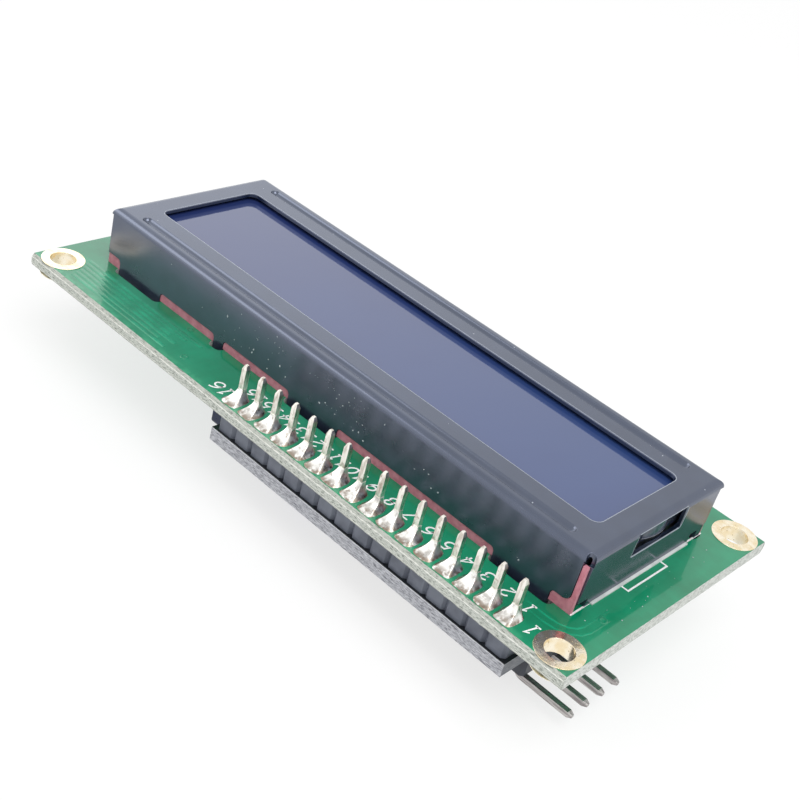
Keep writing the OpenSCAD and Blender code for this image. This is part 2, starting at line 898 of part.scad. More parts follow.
module lcd_board_solder()
  color("silver")
    at_header_pins()
      solder_fillet(fillet_h, pad_w, pad_l, pad_shift);

module adapter_blank()
  translate([adapter_x - adapter_l / 2, adapter_y - adapter_w / 2, adapter_back])
    cube([adapter_l, adapter_w, adapter_t]);

module at_side_pins()
  for (i = [0 : side_pins - 1])
    translate([side_x, adapter_y + (i - (side_pins - 1) / 2) * pitch, 0])
      children();

module at_jumper_pins()
  for (i = [0 : jumper_pin_count - 1])
    translate([jumper_x, adapter_y + (i - (jumper_pin_count - 1) / 2) * pitch, 0])
      children();

// The middle of the trimmer on the adapter's back, with +Z away from the board
module at_trimmer()
  translate([adapter_x + trimmer_at[0], adapter_y + trimmer_at[1], adapter_back])
    mirror([0, 0, 1])
      children();

module adapter_board()
  color("darkslategray")
    difference() {
      adapter_blank();
      translate([0, 0, adapter_back - over]) {
        at_header_pins()
          cylinder(h = adapter_t + 2 * over, d = pin_hole_d);
        at_side_pins()
          cylinder(h = adapter_t + 2 * over, d = pin_hole_d);
        at_jumper_pins()
          cylinder(h = adapter_t + 2 * over, d = pin_hole_d);
      }
      at_trimmer()
        for (at = trimmer_lead_at)
          translate([at[0], at[1], -adapter_t - over])
            cylinder(h = adapter_t + 2 * over, d = trimmer_lead_hole);
    }

// Round solder joint with a hollow flank and the pin's square hole, standing on z = 0
module solder_joint()
  difference() {
    rotate_extrude()
      polygon([
        [0, 0], [joint_r, 0], [joint_r * 0.86, joint_h * 0.2], [joint_r * 0.68, joint_h * 0.5],
        [joint_r * 0.57, joint_h], [0, joint_h]
      ]);
    translate([-pin_w / 2, -pin_w / 2, -over])
      cube([pin_w, pin_w, joint_h + 2 * over]);
  }

// Joints of the header below the adapter, and of both side headers above it
module adapter_solder()
  color("silver") {
    at_header_pins()
      translate([0, 0, adapter_back])
        mirror([0, 0, 1])
          solder_joint();
    at_side_pins()
      translate([0, 0, adapter_face])
        solder_joint();
    at_jumper_pins()
      translate([0, 0, adapter_face])
        solder_joint();
  }

// Moulded body with drafted sides above and below its parting line, standing on z = low
module moulded_body(length, width, low, high) {
  middle = (low + high) / 2;
  draft = (high - low) * 0.1;
  intersection() {
    along_y(width)
      polygon([
        [-length / 2 + draft, low], [length / 2 - draft, low], [length / 2, middle],
        [length / 2 - draft, high], [-length / 2 + draft, high], [-length / 2, middle]
      ]);
    along_x(length)
      polygon([
        [-width / 2 + draft, low], [width / 2 - draft, low], [width / 2, middle],
        [width / 2 - draft, high], [-width / 2 + draft, high], [-width / 2, middle]
      ]);
  }
}

// Gull-wing lead in the X-Z plane, from the body's side at x = 0 down to its foot at x = reach:
// reach, height at the body, length of the foot, width and thickness
module gull_lead(reach, top, foot, width, thick)
  rotate([90, 0, 0])
    linear_extrude(width, center = true)
      polygon([
        [0, top], [reach * 0.3, top], [reach - foot + thick * 0.6, thick], [reach, thick], [reach, 0],
        [reach - foot, 0], [reach * 0.3 - thick * 0.7, top - thick], [0, top - thick]
      ]);

module at_chip()
  translate([adapter_x + chip_at[0], adapter_y + chip_at[1], adapter_back])
    mirror([0, 0, 1])
      children();

module expander_chip()
  color("black")
    at_chip()
      difference() {
        moulded_body(chip_l, chip_w, chip_stand, chip_h);
        translate([-chip_l / 2 + chip_dot_in, -chip_w / 2 + chip_dot_in, chip_h - chip_dot_depth])
          cylinder(h = over, d = chip_dot_d);
      }

module expander_leads()
  color("silver")
    at_chip()
      for (side = [0, 180], i = [0 : 7])
        rotate(side)
          translate([(i - 3.5) * lead_pitch, chip_w / 2, 0])
            rotate(90)
              gull_lead((chip_span - chip_w) / 2, (chip_stand + chip_h + chip_lead_t) / 2, chip_lead_foot,
                chip_lead_w, chip_lead_t);

// Square housing with small feet, a round well for the rotor and a bore for its stem
module trimmer_body()
  color("royalblue")
    at_trimmer()
      difference() {
        union() {
          translate([0, 0, trimmer_foot])
            linear_extrude(trimmer_h - trimmer_foot)
              rounded_2d(trimmer_l, trimmer_w, trimmer_r);
          for (sx = [-1, 1], sy = [-1, 1])
            translate([sx * (trimmer_l / 2 - trimmer_foot_in), sy * (trimmer_w / 2 - trimmer_foot_in), 0])
              cylinder(h = trimmer_foot, r = trimmer_foot_r);
        }
        translate([0, 0, trimmer_h - rotor_recess])
          cylinder(h = rotor_recess + over, d = rotor_d + 2 * rotor_gap);
        translate([0, 0, trimmer_h - rotor_recess - stem_l - rotor_gap])
          cylinder(h = stem_l + rotor_gap + over, d = stem_d + 2 * stem_gap);
      }

module trimmer_rotor()
  color("wheat")
    at_trimmer()
      translate([0, 0, trimmer_h + rotor_out - rotor_t])
        difference() {
          union() {
            cylinder(h = rotor_t, d = rotor_d);
            translate([0, 0, -stem_l])
              cylinder(h = stem_l, d = stem_d);
          }
          for (turn = [0, 90])
            rotate(turn)
              translate([-driver_slot_l / 2, -driver_slot_w / 2, rotor_t - driver_slot_d])
                cube([driver_slot_l, driver_slot_w, driver_slot_d + over]);
        }

// Three round leads, each with a drop of solder above the adapter
module trimmer_leads()
  color("silver")
    at_trimmer()
      for (at = trimmer_lead_at)
        translate([at[0], at[1], -adapter_t]) {
          translate([0, 0, -trimmer_lead_up])
            cylinder(h = adapter_t + trimmer_lead_up + trimmer_foot, d = trimmer_lead_d);
          mirror([0, 0, 1])
            cylinder(h = lead_drop[2], r1 = lead_drop[0], r2 = lead_drop[1]);
        }

module at_transistor()
  translate([adapter_x + transistor_at[0], adapter_y + transistor_at[1], adapter_back])
    mirror([0, 0, 1])
      children();

module transistor()
  color("black")
    at_transistor()
      moulded_body(transistor_size[0], transistor_size[1], chip_stand, transistor_size[2]);

module transistor_leads()
  color("silver")
    at_transistor()
      for (lead = [[-transistor_lead_x, 90], [transistor_lead_x, 90], [0, -90]])
        translate([lead[0], sign(lead[1]) * transistor_size[1] / 2, 0])
          rotate(lead[1])
            gull_lead(transistor_lead[0], transistor_lead[1], transistor_lead[2], transistor_lead[3],
              transistor_lead[4]);

// Small lamp: a base with metal ends and a clear block on it
module power_lamp()
  color("mistyrose")
    translate([adapter_x + power_lamp_at[0], adapter_y + power_lamp_at[1], adapter_back])
      mirror([0, 0, 1]) {
        chip_part(lamp_base_size);
        translate([0, 0, lamp_base_size[2] - lamp_lens_sunk])
          linear_extrude(lamp_lens_size[2], scale = 0.9)
            square([lamp_lens_size[0], lamp_lens_size[1]], center = true);
      }

module adapter_resistors()
  color("black")
    translate([adapter_x, adapter_y, adapter_back])
      chip_parts(adapter_resistor_at, resistor_size);

module adapter_capacitors()
  color("tan")
    translate([adapter_x, adapter_y, adapter_back])
      chip_parts(adapter_capacitor_at, capacitor_size);

module side_header_block()
  color("dimgray")
    at_side_pins()
      translate([0, 0, adapter_back - block_h])
        header_segment(block_h);

// Square pin down through the adapter and its block, then bent to run along X
module bent_pin(direction)
  mirror([direction < 0 ? 1 : 0, 0, 0]) {
    low = side_pin_z + pin_bend_r;
    translate([-pin_w / 2, -pin_w / 2, low])
      cube([pin_w, pin_w, adapter_face + side_pin_up - low]);
    translate([pin_bend_r, 0, low])
      rotate([90, 0, 0])
        rotate(180)
          rotate_extrude(angle = 90)
            translate([pin_bend_r, 0])
              square(pin_w, center = true);
    translate([pin_bend_r, -pin_w / 2, side_pin_z - pin_w / 2])
      cube([pin_reach - tip_l - pin_bend_r, pin_w, pin_w]);
    translate([pin_reach - tip_l, 0, side_pin_z])
      rotate([0, 90, 0])
        pin_tip();
  }

module side_header_pins()
  color("silver")
    at_side_pins()
      bent_pin(-1);

module jumper_block()
  color("dimgray")
    at_jumper_pins()
      translate([0, 0, adapter_back - block_h])
        header_segment(block_h);

module jumper_pins()
  color("silver")
    at_jumper_pins()
      bent_pin(1);

// Cap pushed over both jumper pins up to the block, with two blind square sockets
module jumper_cap() {
  socket = pin_w + 2 * cap_pin_gap;
  start = pitch / 2 + cap_gap;
  color("midnightblue")
    translate([jumper_x + start, adapter_y, side_pin_z])
      difference() {
        translate([cap_l / 2, 0, 0])
          along_x(cap_l)
            rounded_2d(cap_w, cap_h, cap_r);
        for (i = [0 : jumper_pin_count - 1])
          translate([-over, (i - (jumper_pin_count - 1) / 2) * pitch - socket / 2, -socket / 2])
            cube([pin_reach - start + cap_pin_gap + over, socket, socket]);
      }
}

lcd_board();
hole_plating();
bezel();
front_polariser();
front_glass();
rear_glass();
rear_polariser();
fill_plug();
elastomer_strip_near();
elastomer_strip_far();
diffuser_film();
light_guide();
reflector_film();
backlight_lamp();
backlight_leads();
controller_glob();
driver_glob();
lcd_resistors();
lcd_capacitors();
header_spacer();
header_pins();
lcd_board_solder();
adapter_board();
adapter_solder();
expander_chip();
expander_leads();
trimmer_body();
trimmer_rotor();
trimmer_leads();
transistor();
transistor_leads();
power_lamp();
adapter_resistors();
adapter_capacitors();
side_header_block();
side_header_pins();
jumper_block();
jumper_pins();
jumper_cap();
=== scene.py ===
import math
import random

import bmesh
import bpy
from mathutils import Matrix, Vector, noise


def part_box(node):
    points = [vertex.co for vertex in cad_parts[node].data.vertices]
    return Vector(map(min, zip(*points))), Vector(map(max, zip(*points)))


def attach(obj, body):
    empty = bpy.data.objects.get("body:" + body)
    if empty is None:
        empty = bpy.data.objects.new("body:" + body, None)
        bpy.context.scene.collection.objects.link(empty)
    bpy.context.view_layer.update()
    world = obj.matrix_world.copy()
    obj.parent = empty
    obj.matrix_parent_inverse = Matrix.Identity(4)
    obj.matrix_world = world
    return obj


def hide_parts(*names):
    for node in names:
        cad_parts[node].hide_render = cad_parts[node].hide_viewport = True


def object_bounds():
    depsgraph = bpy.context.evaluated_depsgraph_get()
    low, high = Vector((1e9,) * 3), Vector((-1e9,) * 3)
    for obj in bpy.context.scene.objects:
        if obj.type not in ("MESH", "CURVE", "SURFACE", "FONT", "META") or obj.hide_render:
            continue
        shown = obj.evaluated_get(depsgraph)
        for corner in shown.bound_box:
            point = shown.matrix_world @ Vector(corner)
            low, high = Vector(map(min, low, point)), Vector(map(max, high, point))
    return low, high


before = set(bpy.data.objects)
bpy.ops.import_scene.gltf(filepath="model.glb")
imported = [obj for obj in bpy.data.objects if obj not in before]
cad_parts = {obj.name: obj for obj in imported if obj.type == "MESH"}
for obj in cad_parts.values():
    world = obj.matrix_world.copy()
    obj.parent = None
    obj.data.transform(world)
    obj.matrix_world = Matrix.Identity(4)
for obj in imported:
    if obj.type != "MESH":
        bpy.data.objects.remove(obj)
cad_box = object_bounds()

MM = 0.001
MODULE = "module"


# Places and sizes, read from the solids
def box(node):
    low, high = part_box(node)
    return low / MM, high / MM


def solids(node):
    """The box of each separate solid in a node, from left to right."""
    shape = bmesh.new()
    shape.from_mesh(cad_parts[node].data)
    bmesh.ops.remove_doubles(shape, verts=shape.verts, dist=1e-7)
    todo = set(shape.verts)
    boxes = []
    while todo:
        reached = [todo.pop()]
        for corner in reached:
            near = [edge.other_vert(corner) for edge in corner.link_edges]
            fresh = [other for other in near if other in todo]
            todo.difference_update(fresh)
            reached += fresh
        spots = [corner.co / MM for corner in reached]
        boxes.append([Vector(pick(spot[axis] for spot in spots) for axis in range(3)) for pick in (min, max)])
    shape.free()
    return sorted(boxes, key=lambda pair: (round(pair[0].x, 2), pair[0].y))


def middle(pair):
    return (pair[0] + pair[1]) / 2


board_low, board_high = box("lcd_board")
bezel_low, bezel_high = box("bezel")
plate_low, plate_high = box("adapter_board")
pin_boxes = solids("header_pins")
side_pins = sorted(solids("side_header_pins"), key=lambda pair: pair[0].y)
PITCH = middle(pin_boxes[1]).x - middle(pin_boxes[0]).x
ROW_Y = middle(pin_boxes[0]).y
FIRST_PIN = middle(pin_boxes[0]).x
LAST_PIN = middle(pin_boxes[-1]).x
# Outer faces of the bezel's wall beside the header, and of its leaning end wall where it meets the board
WALL_Y = box("elastomer_strip_near")[1].y + 0.1
WALL_X = box("reflector_film")[0].x + 0.3
# Openings punched in the bezel's plate and in its end wall: half lengths, half widths and middles
WINDOW = (32.4, 7.2, 0.0, -0.8)
END_WINDOW = (4.45, 1.38, -1.3, 5.02)


# Shader nodes
def maths(operation, swapped=False):
    """Method that adds one Math node to a wire and what stands beside it, a wire or a number."""
    def add(*values):
        order = values[::-1] if swapped else values
        return values[0].finish.node("ShaderNodeMath", {"operation": operation}, order)
    return add


class Wire:
    """An output of a shader node. Arithmetic adds Math nodes: & is the lower of two and | the higher."""

    def __init__(self, finish, socket):
        self.finish = finish
        self.socket = socket

    __add__ = __radd__ = maths("ADD")
    __sub__ = maths("SUBTRACT")
    __rsub__ = maths("SUBTRACT", swapped=True)
    __mul__ = __rmul__ = maths("MULTIPLY")
    __truediv__ = maths("DIVIDE")
    __rtruediv__ = maths("DIVIDE", swapped=True)
    __mod__ = maths("FLOORED_MODULO")
    __rmod__ = maths("FLOORED_MODULO", swapped=True)
    __pow__ = maths("POWER")
    __rpow__ = maths("POWER", swapped=True)
    __abs__ = maths("ABSOLUTE")
    __and__ = __rand__ = maths("MINIMUM")
    __or__ = __ror__ = maths("MAXIMUM")

    def rise(self, low, high):
        """0 up to low, 1 from high on and smooth between them."""
        return self.finish.node("ShaderNodeMapRange", {"interpolation_type": "SMOOTHSTEP"},
                                {"Value": self, "From Min": low, "From Max": high})

    def fall(self, low, high):
        return 1 - self.rise(low, high)


class Shading:
    """The nodes of a material or of the surroundings."""

    def __init__(self, owner, shader):
        owner.use_nodes = True
        self.tree = owner.node_tree
        self.shader = self.tree.nodes[shader]

    def node(self, kind, settings=None, values=(), out=0):
        """Adds a node: its settings are set first, then the values or links of its sockets."""
        made = self.tree.nodes.new(kind)
        for key, value in (settings or {}).items():
            setattr(made, key, value)
        for key, value in values.items() if isinstance(values, dict) else enumerate(values):
            if isinstance(value, Wire):
                self.tree.links.new(value.socket, made.inputs[key])
            else:
                made.inputs[key].default_value = value
        return Wire(self, made.outputs[out])

    def parts(self, vector):
        first = self.node("ShaderNodeSeparateXYZ", values=(vector,))
        outputs = first.socket.node.outputs
        return [Wire(self, outputs[axis]) for axis in range(3)]

    def mix(self, first, second, amount):
        """Colour from first to second as amount goes from 0 to 1. Three plain numbers are a screen colour."""
        ends = [tint(*end) if isinstance(end, tuple) and len(end) == 3 else end for end in (first, second)]
        return self.node("ShaderNodeMix", {"data_type": "RGBA"}, {0: amount, 6: ends[0], 7: ends[1]}, out=2)

    def seen_directly(self):
        """1 for the camera, for reflections and through glass, and 0 for light that bounces."""
        path = self.node("ShaderNodeLightPath").socket.node.outputs
        camera_ray, glossy_ray, through_ray = (Wire(self, path[name]) for name in
                                               ("Is Camera Ray", "Is Glossy Ray", "Is Transmission Ray"))
        return camera_ray | glossy_ray | through_ray

    def feed(self, **sockets):
        """Links what varies; Base_Color stands for the socket Base Color."""
        for name, wire in sockets.items():
            self.tree.links.new(wire.socket, self.shader.inputs[name.replace("_", " ")])


class Finish(Shading):
    """One material: fixed values on its shader's own sockets, then what varies over the surface."""

    def __init__(self, name, fixed):
        self.material = bpy.data.materials.new(name)
        super().__init__(self.material, "Principled BSDF")
        for socket, value in fixed.items():
            self.shader.inputs[socket].default_value = value
        spot = self.node("ShaderNodeTexCoord", out="Object")
        self.mm = self.node("ShaderNodeVectorMath", {"operation": "SCALE"}, {"Vector": spot, "Scale": 1 / MM})
        self.x, self.y, self.z = self.parts(self.mm)
        self.toward_x, self.toward_y, self.up = self.parts(self.node("ShaderNodeTexCoord", out="Normal"))

    def noise(self, per_mm, detail=2.0, along=(1, 1, 1)):
        """Cloudy pattern around 0.5, with about per_mm patches to a millimetre."""
        spot = self.node("ShaderNodeVectorMath", {"operation": "MULTIPLY"}, (self.mm, along))
        return self.node("ShaderNodeTexNoise", {}, {"Vector": spot, "Scale": per_mm, "Detail": detail})

    def specks(self, per_mm, size):
        """Scattered round specks: 1 in their middles, 0 between them."""
        away = self.node("ShaderNodeTexVoronoi", {}, {"Vector": self.mm, "Scale": per_mm})
        return away.fall(size * 0.6, size)

    def bump(self, height, depth, edges=None):
        """Feeds the shader's normal with relief of that depth, on edges rounded in the shading."""
        values = {"Height": height, "Distance": depth * MM}
        if edges:
            values["Normal"] = self.node("ShaderNodeBevel", {"samples": 6}, {"Radius": edges * MM})
        self.feed(Normal=self.node("ShaderNodeBump", {}, values))


def tint(red, green, blue):
    """Linear colour of a screen colour from 0 to 255."""
    parts = [channel / 255 for channel in (red, green, blue)]
    return tuple(p / 12.92 if p <= 0.04045 else ((p + 0.055) / 1.055) ** 2.4 for p in parts) + (1.0,)


def two_tone(name, fixed, pattern, tones, span, rough, relief, edges=None):
    """Two close tones over one pattern, which also feeds the roughness and the relief.

    pattern is what noise takes, span the part of it over which the tones change, and rough its share in the
    roughness and the least roughness.
    """
    finish = Finish(name, fixed)
    grain = finish.noise(*pattern)
    share, least = rough
    finish.feed(Base_Color=finish.mix(*tones, grain.rise(*span)), Roughness=grain * share + least)
    finish.bump(grain, relief, edges)
    return finish


def dress(finish, *nodes):
    for name in nodes:
        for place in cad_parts[name].material_slots:
            place.material = finish.material


# Finishes of the display board
MASK_COAT = {"Coat Roughness": 0.04, "Coat Tint": (0.94, 1.0, 0.97, 1.0), "IOR": 1.4}


def green_board():
    """Solder mask on both faces, and bare laminate on the sawn and the broken edges."""
    finish = Finish("green_mask_on_laminate", MASK_COAT)
    face = abs(finish.up).rise(0.8, 0.95)
    front = finish.up.rise(0.9, 0.99)
    half_w = board_high.y
    long_side = abs(finish.y).rise(half_w - 0.35, half_w - 0.28)
    weave = finish.noise(1.1, 3.0, (1, 0.25, 1)) + finish.noise(1.1, 3.0, (0.25, 1, 1))
    cloud = finish.noise(0.12, 3.0)
    mask = finish.mix((0, 124, 86), (2, 158, 115), cloud.rise(0.3, 0.75) * 0.6 + weave.rise(0.8, 1.2) * 0.15)
    rim = finish.y.rise(half_w - 1.3, half_w - 0.5) * finish.noise(0.9).rise(0.4, 0.6)
    mask = finish.mix(mask, (60, 168, 124), rim * front * 0.6)
    near_pad = pad_distance(finish).fall(1.0, 1.3) & front
    browned = finish.mix(mask, (112, 96, 72), near_pad * finish.noise(2.0).rise(0.4, 0.7) * 0.75)
    strands = finish.noise(9.0, 3.0, (0.22, 0.5, 1.6))
    layers = finish.noise(3.4, 4.0, (0.8, 0.8, 1.2))
    laminate = finish.mix((186, 190, 184), (218, 221, 216), layers.rise(0.38, 0.58))
    broken = finish.mix((128, 136, 126), (214, 218, 210), strands.rise(0.36, 0.52))
    edge = finish.mix(laminate, broken, long_side)
    finish.feed(
        Base_Color=finish.mix(edge, browned, face),
        Roughness=0.78 - face * 0.5 + finish.noise(3.0) * 0.08,
        Coat_Weight=face * 0.8,
    )
    relief = face * (finish.noise(0.5) * 0.3 + weave * 0.12) + (1 - face) * long_side * strands * 4
    finish.bump(relief, 0.03, 0.04)
    return finish


def pad_distance(finish):
    """Distance from the nearest header pad's middle, where 1 is the rim of its solder."""
    solder_low, solder_high = solids("lcd_board_solder")[0]
    half_x = (solder_high.x - solder_low.x) / 2
    half_y = (solder_high.y - solder_low.y) / 2
    pad_y = (solder_high.y + solder_low.y) / 2
    across = ((finish.x - (FIRST_PIN - PITCH / 2)) % PITCH - PITCH / 2) / half_x
    beyond = (abs(finish.x - (FIRST_PIN + LAST_PIN) / 2) - (LAST_PIN - FIRST_PIN) / 2).rise(0.9, 1.4)
    along = (finish.y - pad_y) / half_y
    return (across * across + along * along) ** 0.5 + beyond * 3


def mask_on_copper(name, dark, light, rough):
    """Mask over copper: the same colour as beside it, a little lighter."""
    finish = Finish(name, {**MASK_COAT, "Coat Roughness": 0.05, "Coat Weight": 0.8})
    cloud = finish.noise(0.3, 3.0)
    finish.feed(
        Base_Color=finish.mix(dark, light, cloud.rise(0.3, 0.7)),
        Roughness=finish.noise(2.0) * 0.1 + rough,
    )
    finish.bump(finish.noise(1.5, 3.0), 0.01)
    return finish


def gold_plating():
    """Thin gold, paler where it is worn and brown in its pits."""
    finish = Finish("gold_on_copper", {"Metallic": 1.0})
    patch = finish.noise(0.9, 4.0)
    dots = finish.specks(2.4, 0.16)
    bright = finish.mix((242, 224, 186), (252, 243, 222), patch.rise(0.35, 0.65))
    finish.feed(
        Base_Color=finish.mix(bright, (172, 138, 98), dots * 0.6),
        Roughness=patch * 0.16 + 0.1,
    )
    finish.bump(finish.noise(3.0, 4.0) + dots, 0.01, 0.05)
    return finish


def tinned_metal():
    """Tin on the pins: cream, with soft grey streaks and some brown left by the soldering."""
    finish = Finish("tinned_metal", {"Metallic": 1.0})
    streaks = finish.noise(3.0, 3.0, (1, 1, 0.25))
    blotch = finish.noise(1.5, 3.0)
    bright = finish.mix((206, 199, 188), (248, 244, 236), streaks.rise(0.35, 0.6))
    finish.feed(
        Base_Color=finish.mix(bright, (158, 138, 122), blotch.rise(0.56, 0.72) * 0.65),
        Roughness=streaks * 0.2 + 0.2,
    )
    finish.bump(streaks + blotch, 0.015, 0.04)
    return finish


def bright_solder():
    """Satin solder: pale on its flanks, brownish in its wrinkles, and brown at its foot for flux and for
    painted shade where it meets the board.
    """
    finish = Finish("bright_solder", {"Metallic": 1.0})
    grain = finish.noise(1.3, 3.0)
    wrinkle = finish.noise(1.7, 3.0, (1, 1, 0.45))
    skin = finish.mix((200, 197, 192), (250, 249, 245), grain.rise(0.34, 0.56))
    # Painted shade with some flux: brown near the foot, where the solder meets the board.
    rim = finish.z.fall(0.05, 0.42) * wrinkle.rise(0.36, 0.56) * 0.85
    finish.feed(
        Base_Color=finish.mix(skin, (132, 112, 92), rim | (wrinkle.rise(0.6, 0.68) * 0.65)),
        Roughness=grain * 0.2 + 0.2,
    )
    finish.bump(grain + finish.noise(4.0) * 0.25, 0.03)
    return finish


# Finishes of the bezel and the cell
def outline(across, along, opening, radius, width):
    """1 on the outline of a round-cornered opening: its half length, half width and middle."""
    beyond_across = (abs(across - opening[2]) - (opening[0] - radius)) | 0
    beyond_along = (abs(along - opening[3]) - (opening[1] - radius)) | 0
    edge = (beyond_across * beyond_across + beyond_along * beyond_along) ** 0.5 - radius
    return abs(edge).fall(width * 0.5, width)


def black_paint():
    """Baked black paint: glossy, bluish where it reflects, with faint clouds, and painted highlights along
    the punched edges of its openings.
    """
    finish = Finish("black_paint_on_sheet", {"IOR": 2.3, "Specular Tint": (0.72, 0.79, 1.0, 1.0)})
    peel = finish.noise(3.0)
    cloud = finish.noise(0.35, 3.0)
    scuff = finish.noise(1.8, 5.0, (0.15, 1, 1)).rise(0.66, 0.76)
    dust = finish.specks(0.55, 0.05) * finish.up.rise(0.5, 0.9)
    base = finish.mix((20, 30, 46), (31, 41, 58), cloud.rise(0.3, 0.7))
    top = bezel_high.z
    # Painted highlight: pale lines along the cut edges of the window and the end slot, standing for the light
    # those edges catch.
    window = outline(finish.x, finish.y, WINDOW, 1.0, 0.1) * finish.z.rise(top - 0.2, top - 0.05)
    slot = outline(finish.y, finish.z, END_WINDOW, 0.3, 0.1) * finish.x.fall(WALL_X - 0.06, WALL_X + 0.02)
    painted_edge_glint = window * 0.8 | slot
    marked = finish.mix(base, (84, 88, 98), scuff * 0.4)
    marked = finish.mix(marked, (196, 200, 206), dust * 0.8)
    walls = abs(finish.toward_y).rise(0.8, 0.98) * 0.12 + abs(finish.toward_x).rise(0.8, 0.98) * 0.06
    finish.feed(
        Base_Color=finish.mix(marked, (186, 192, 202), painted_edge_glint * 0.85),
        Roughness=walls + cloud * 0.06 + peel * 0.03 + 0.12,
    )
    finish.bump(peel, 0.002, 0.08)
    return finish


def blue_polariser():
    finish = Finish("blue_polariser", {"IOR": 1.9, "Specular Tint": (0.9, 0.93, 1.0, 1.0)})
    # Painted shade: the blue darkens along the polariser's length towards the far end.
    painted_lengthwise_shade = finish.x.rise(bezel_low.x, bezel_high.x)
    cloud = finish.noise(0.06)
    near = (50, 72, 124)
    far = (44, 58, 110)
    finish.feed(
        Base_Color=finish.mix(near, far, painted_lengthwise_shade * 0.8 + cloud.rise(0.4, 0.6) * 0.2),
        Roughness=finish.noise(0.8, 3.0) * 0.03 + 0.03,
    )
    finish.bump(finish.noise(0.25), 0.01)
    return finish


def fill_resin():
    """Clear grey resin, with painted highlights along its top and bottom edges."""
    finish = Finish("fill_resin", {"IOR": 1.6})
    low, high = box("fill_plug")
    grain = finish.noise(1.5)
    # Painted highlight: pale bands at the plug's top and bottom edges.
    rim = finish.z.rise(high.z - 0.22, high.z - 0.08) | finish.z.fall(low.z + 0.04, low.z + 0.12)
    body = finish.mix((56, 63, 80), (80, 87, 102), grain.rise(0.35, 0.65))
    finish.feed(
        Base_Color=finish.mix(body, (196, 204, 212), rim * 0.7),
        Roughness=grain * 0.1 + 0.12,
    )
    finish.bump(grain, 0.01, 0.05)
    return finish


def pink_elastomer():
    finish = Finish("pink_silicone", {"IOR": 1.42, "Sheen Weight": 0.2, "Sheen Roughness": 0.5})
    mottle = finish.noise(1.2, 4.0)
    dust = finish.specks(1.9, 0.07)
    soft = finish.mix((194, 112, 130), (216, 140, 156), mottle.rise(0.3, 0.7))
    finish.feed(
        Base_Color=finish.mix(soft, (120, 60, 78), dust * 0.5),
        Roughness=mottle * 0.2 + 0.5,
    )
    finish.bump(mottle, 0.03, 0.06)
    return finish


def plain_plastic(name, dark, light, rough, relief, fixed=None):
    """Moulded plastic: two close tones, a fine grain and softly rounded edges."""
    finish = Finish(name, {"IOR": 1.5, **(fixed or {})})
    grain = finish.noise(4.0, 4.0)
    cloud = finish.noise(0.5)
    finish.feed(
        Base_Color=finish.mix(dark, light, cloud.rise(0.35, 0.65)),
        Roughness=grain * 0.2 + rough,
    )
    finish.bump(grain, relief, 0.05)
    return finish


def black_board():
    finish = Finish("black_mask_on_laminate", {"IOR": 1.5, "Coat Roughness": 0.08})
    face = abs(finish.up).rise(0.8, 0.95)
    strands = finish.noise(10.0, 4.0, (0.2, 0.2, 1.8))
    flecks = finish.noise(7.0, 4.0, (0.22, 0.22, 1.7))
    crest = finish.z.rise(plate_high.z - 0.2, plate_high.z - 0.06)
    routed = finish.mix((150, 152, 160), (206, 207, 213), strands.rise(0.36, 0.58))
    routed = finish.mix(routed, (98, 99, 108), flecks.rise(0.54, 0.63) * 0.75)
    routed = finish.mix(routed, (226, 228, 232), crest * 0.7)
    half_w = (plate_high.y - plate_low.y) / 2
    short_side = abs(finish.y - (plate_low.y + half_w)).fall(half_w - 0.05, half_w - 0.01)
    routed = finish.mix(routed, (108, 111, 118), short_side * 0.75)
    cloud = finish.noise(0.3, 3.0)
    mask = finish.mix((17, 19, 24), (30, 33, 40), cloud.rise(0.3, 0.7))
    finish.feed(
        Base_Color=finish.mix(routed, mask, face),
        Roughness=0.75 - face * 0.45 + finish.noise(3.0) * 0.08,
        Coat_Weight=face * 0.8,
    )
    finish.bump(face * finish.noise(0.6) * 0.3 + (1 - face) * strands * 3, 0.03, 0.04)
    return finish


def broken_laminate():
    """Torn glass fibre: grey with fine dark flecks along the edge, and a pale crest above its flat middle."""
    finish = Finish("broken_laminate", {"IOR": 1.5})
    threads = finish.noise(9.0, 4.0, (0.25, 0.7, 1.7))
    flecks = finish.noise(6.5, 4.0, (0.25, 0.9, 1.6))
    depth = abs(finish.z - middle((board_low, board_high)).z)
    crest = abs(depth - 0.37).fall(0.05, 0.13)
    bevel = depth.rise(0.4, 0.5)
    pale = finish.mix((184, 188, 181), (230, 231, 225), threads.rise(0.36, 0.54))
    shaded = finish.mix(pale, (160, 167, 155), bevel * 0.55)
    dark = finish.mix(shaded, (104, 110, 102), flecks.rise(0.55, 0.64) * 0.75)
    finish.feed(
        Base_Color=finish.mix(dark, (236, 237, 230), crest * threads.rise(0.34, 0.5)),
        Roughness=threads * 0.2 + 0.6,
    )
    finish.bump(threads + flecks * 0.5, 0.04)
    return finish


# Finishes of the added pieces, some of which dress solids too
TRACKS = mask_on_copper("green_mask_on_copper", (6, 132, 94), (14, 164, 121), 0.22)
BLACK_TRACKS = mask_on_copper("black_mask_on_copper", (30, 33, 38), (44, 48, 55), 0.26)
INK = two_tone("white_ink", {"IOR": 1.45}, (6.0, 4.0), ((217, 217, 217), (252, 252, 252)),
               (0.3, 0.5), (0.2, 0.45), 0.006)
DUST = two_tone("dust", {"IOR": 1.4}, (12.0, 3.0), ((146, 156, 162), (214, 220, 222)),
                (0.35, 0.65), (0.2, 0.7), 0.01)
GOLD = gold_plating()
TINNED = tinned_metal()
SOLDER = bright_solder()
EDGE = broken_laminate()
LAMP_CASE = plain_plastic("white_lamp_case", (226, 222, 206), (240, 236, 224), 0.35, 0.008)
LENS = plain_plastic("clear_lens", (232, 214, 206), (244, 232, 226), 0.05, 0.004,
                     {"Transmission Weight": 0.7})
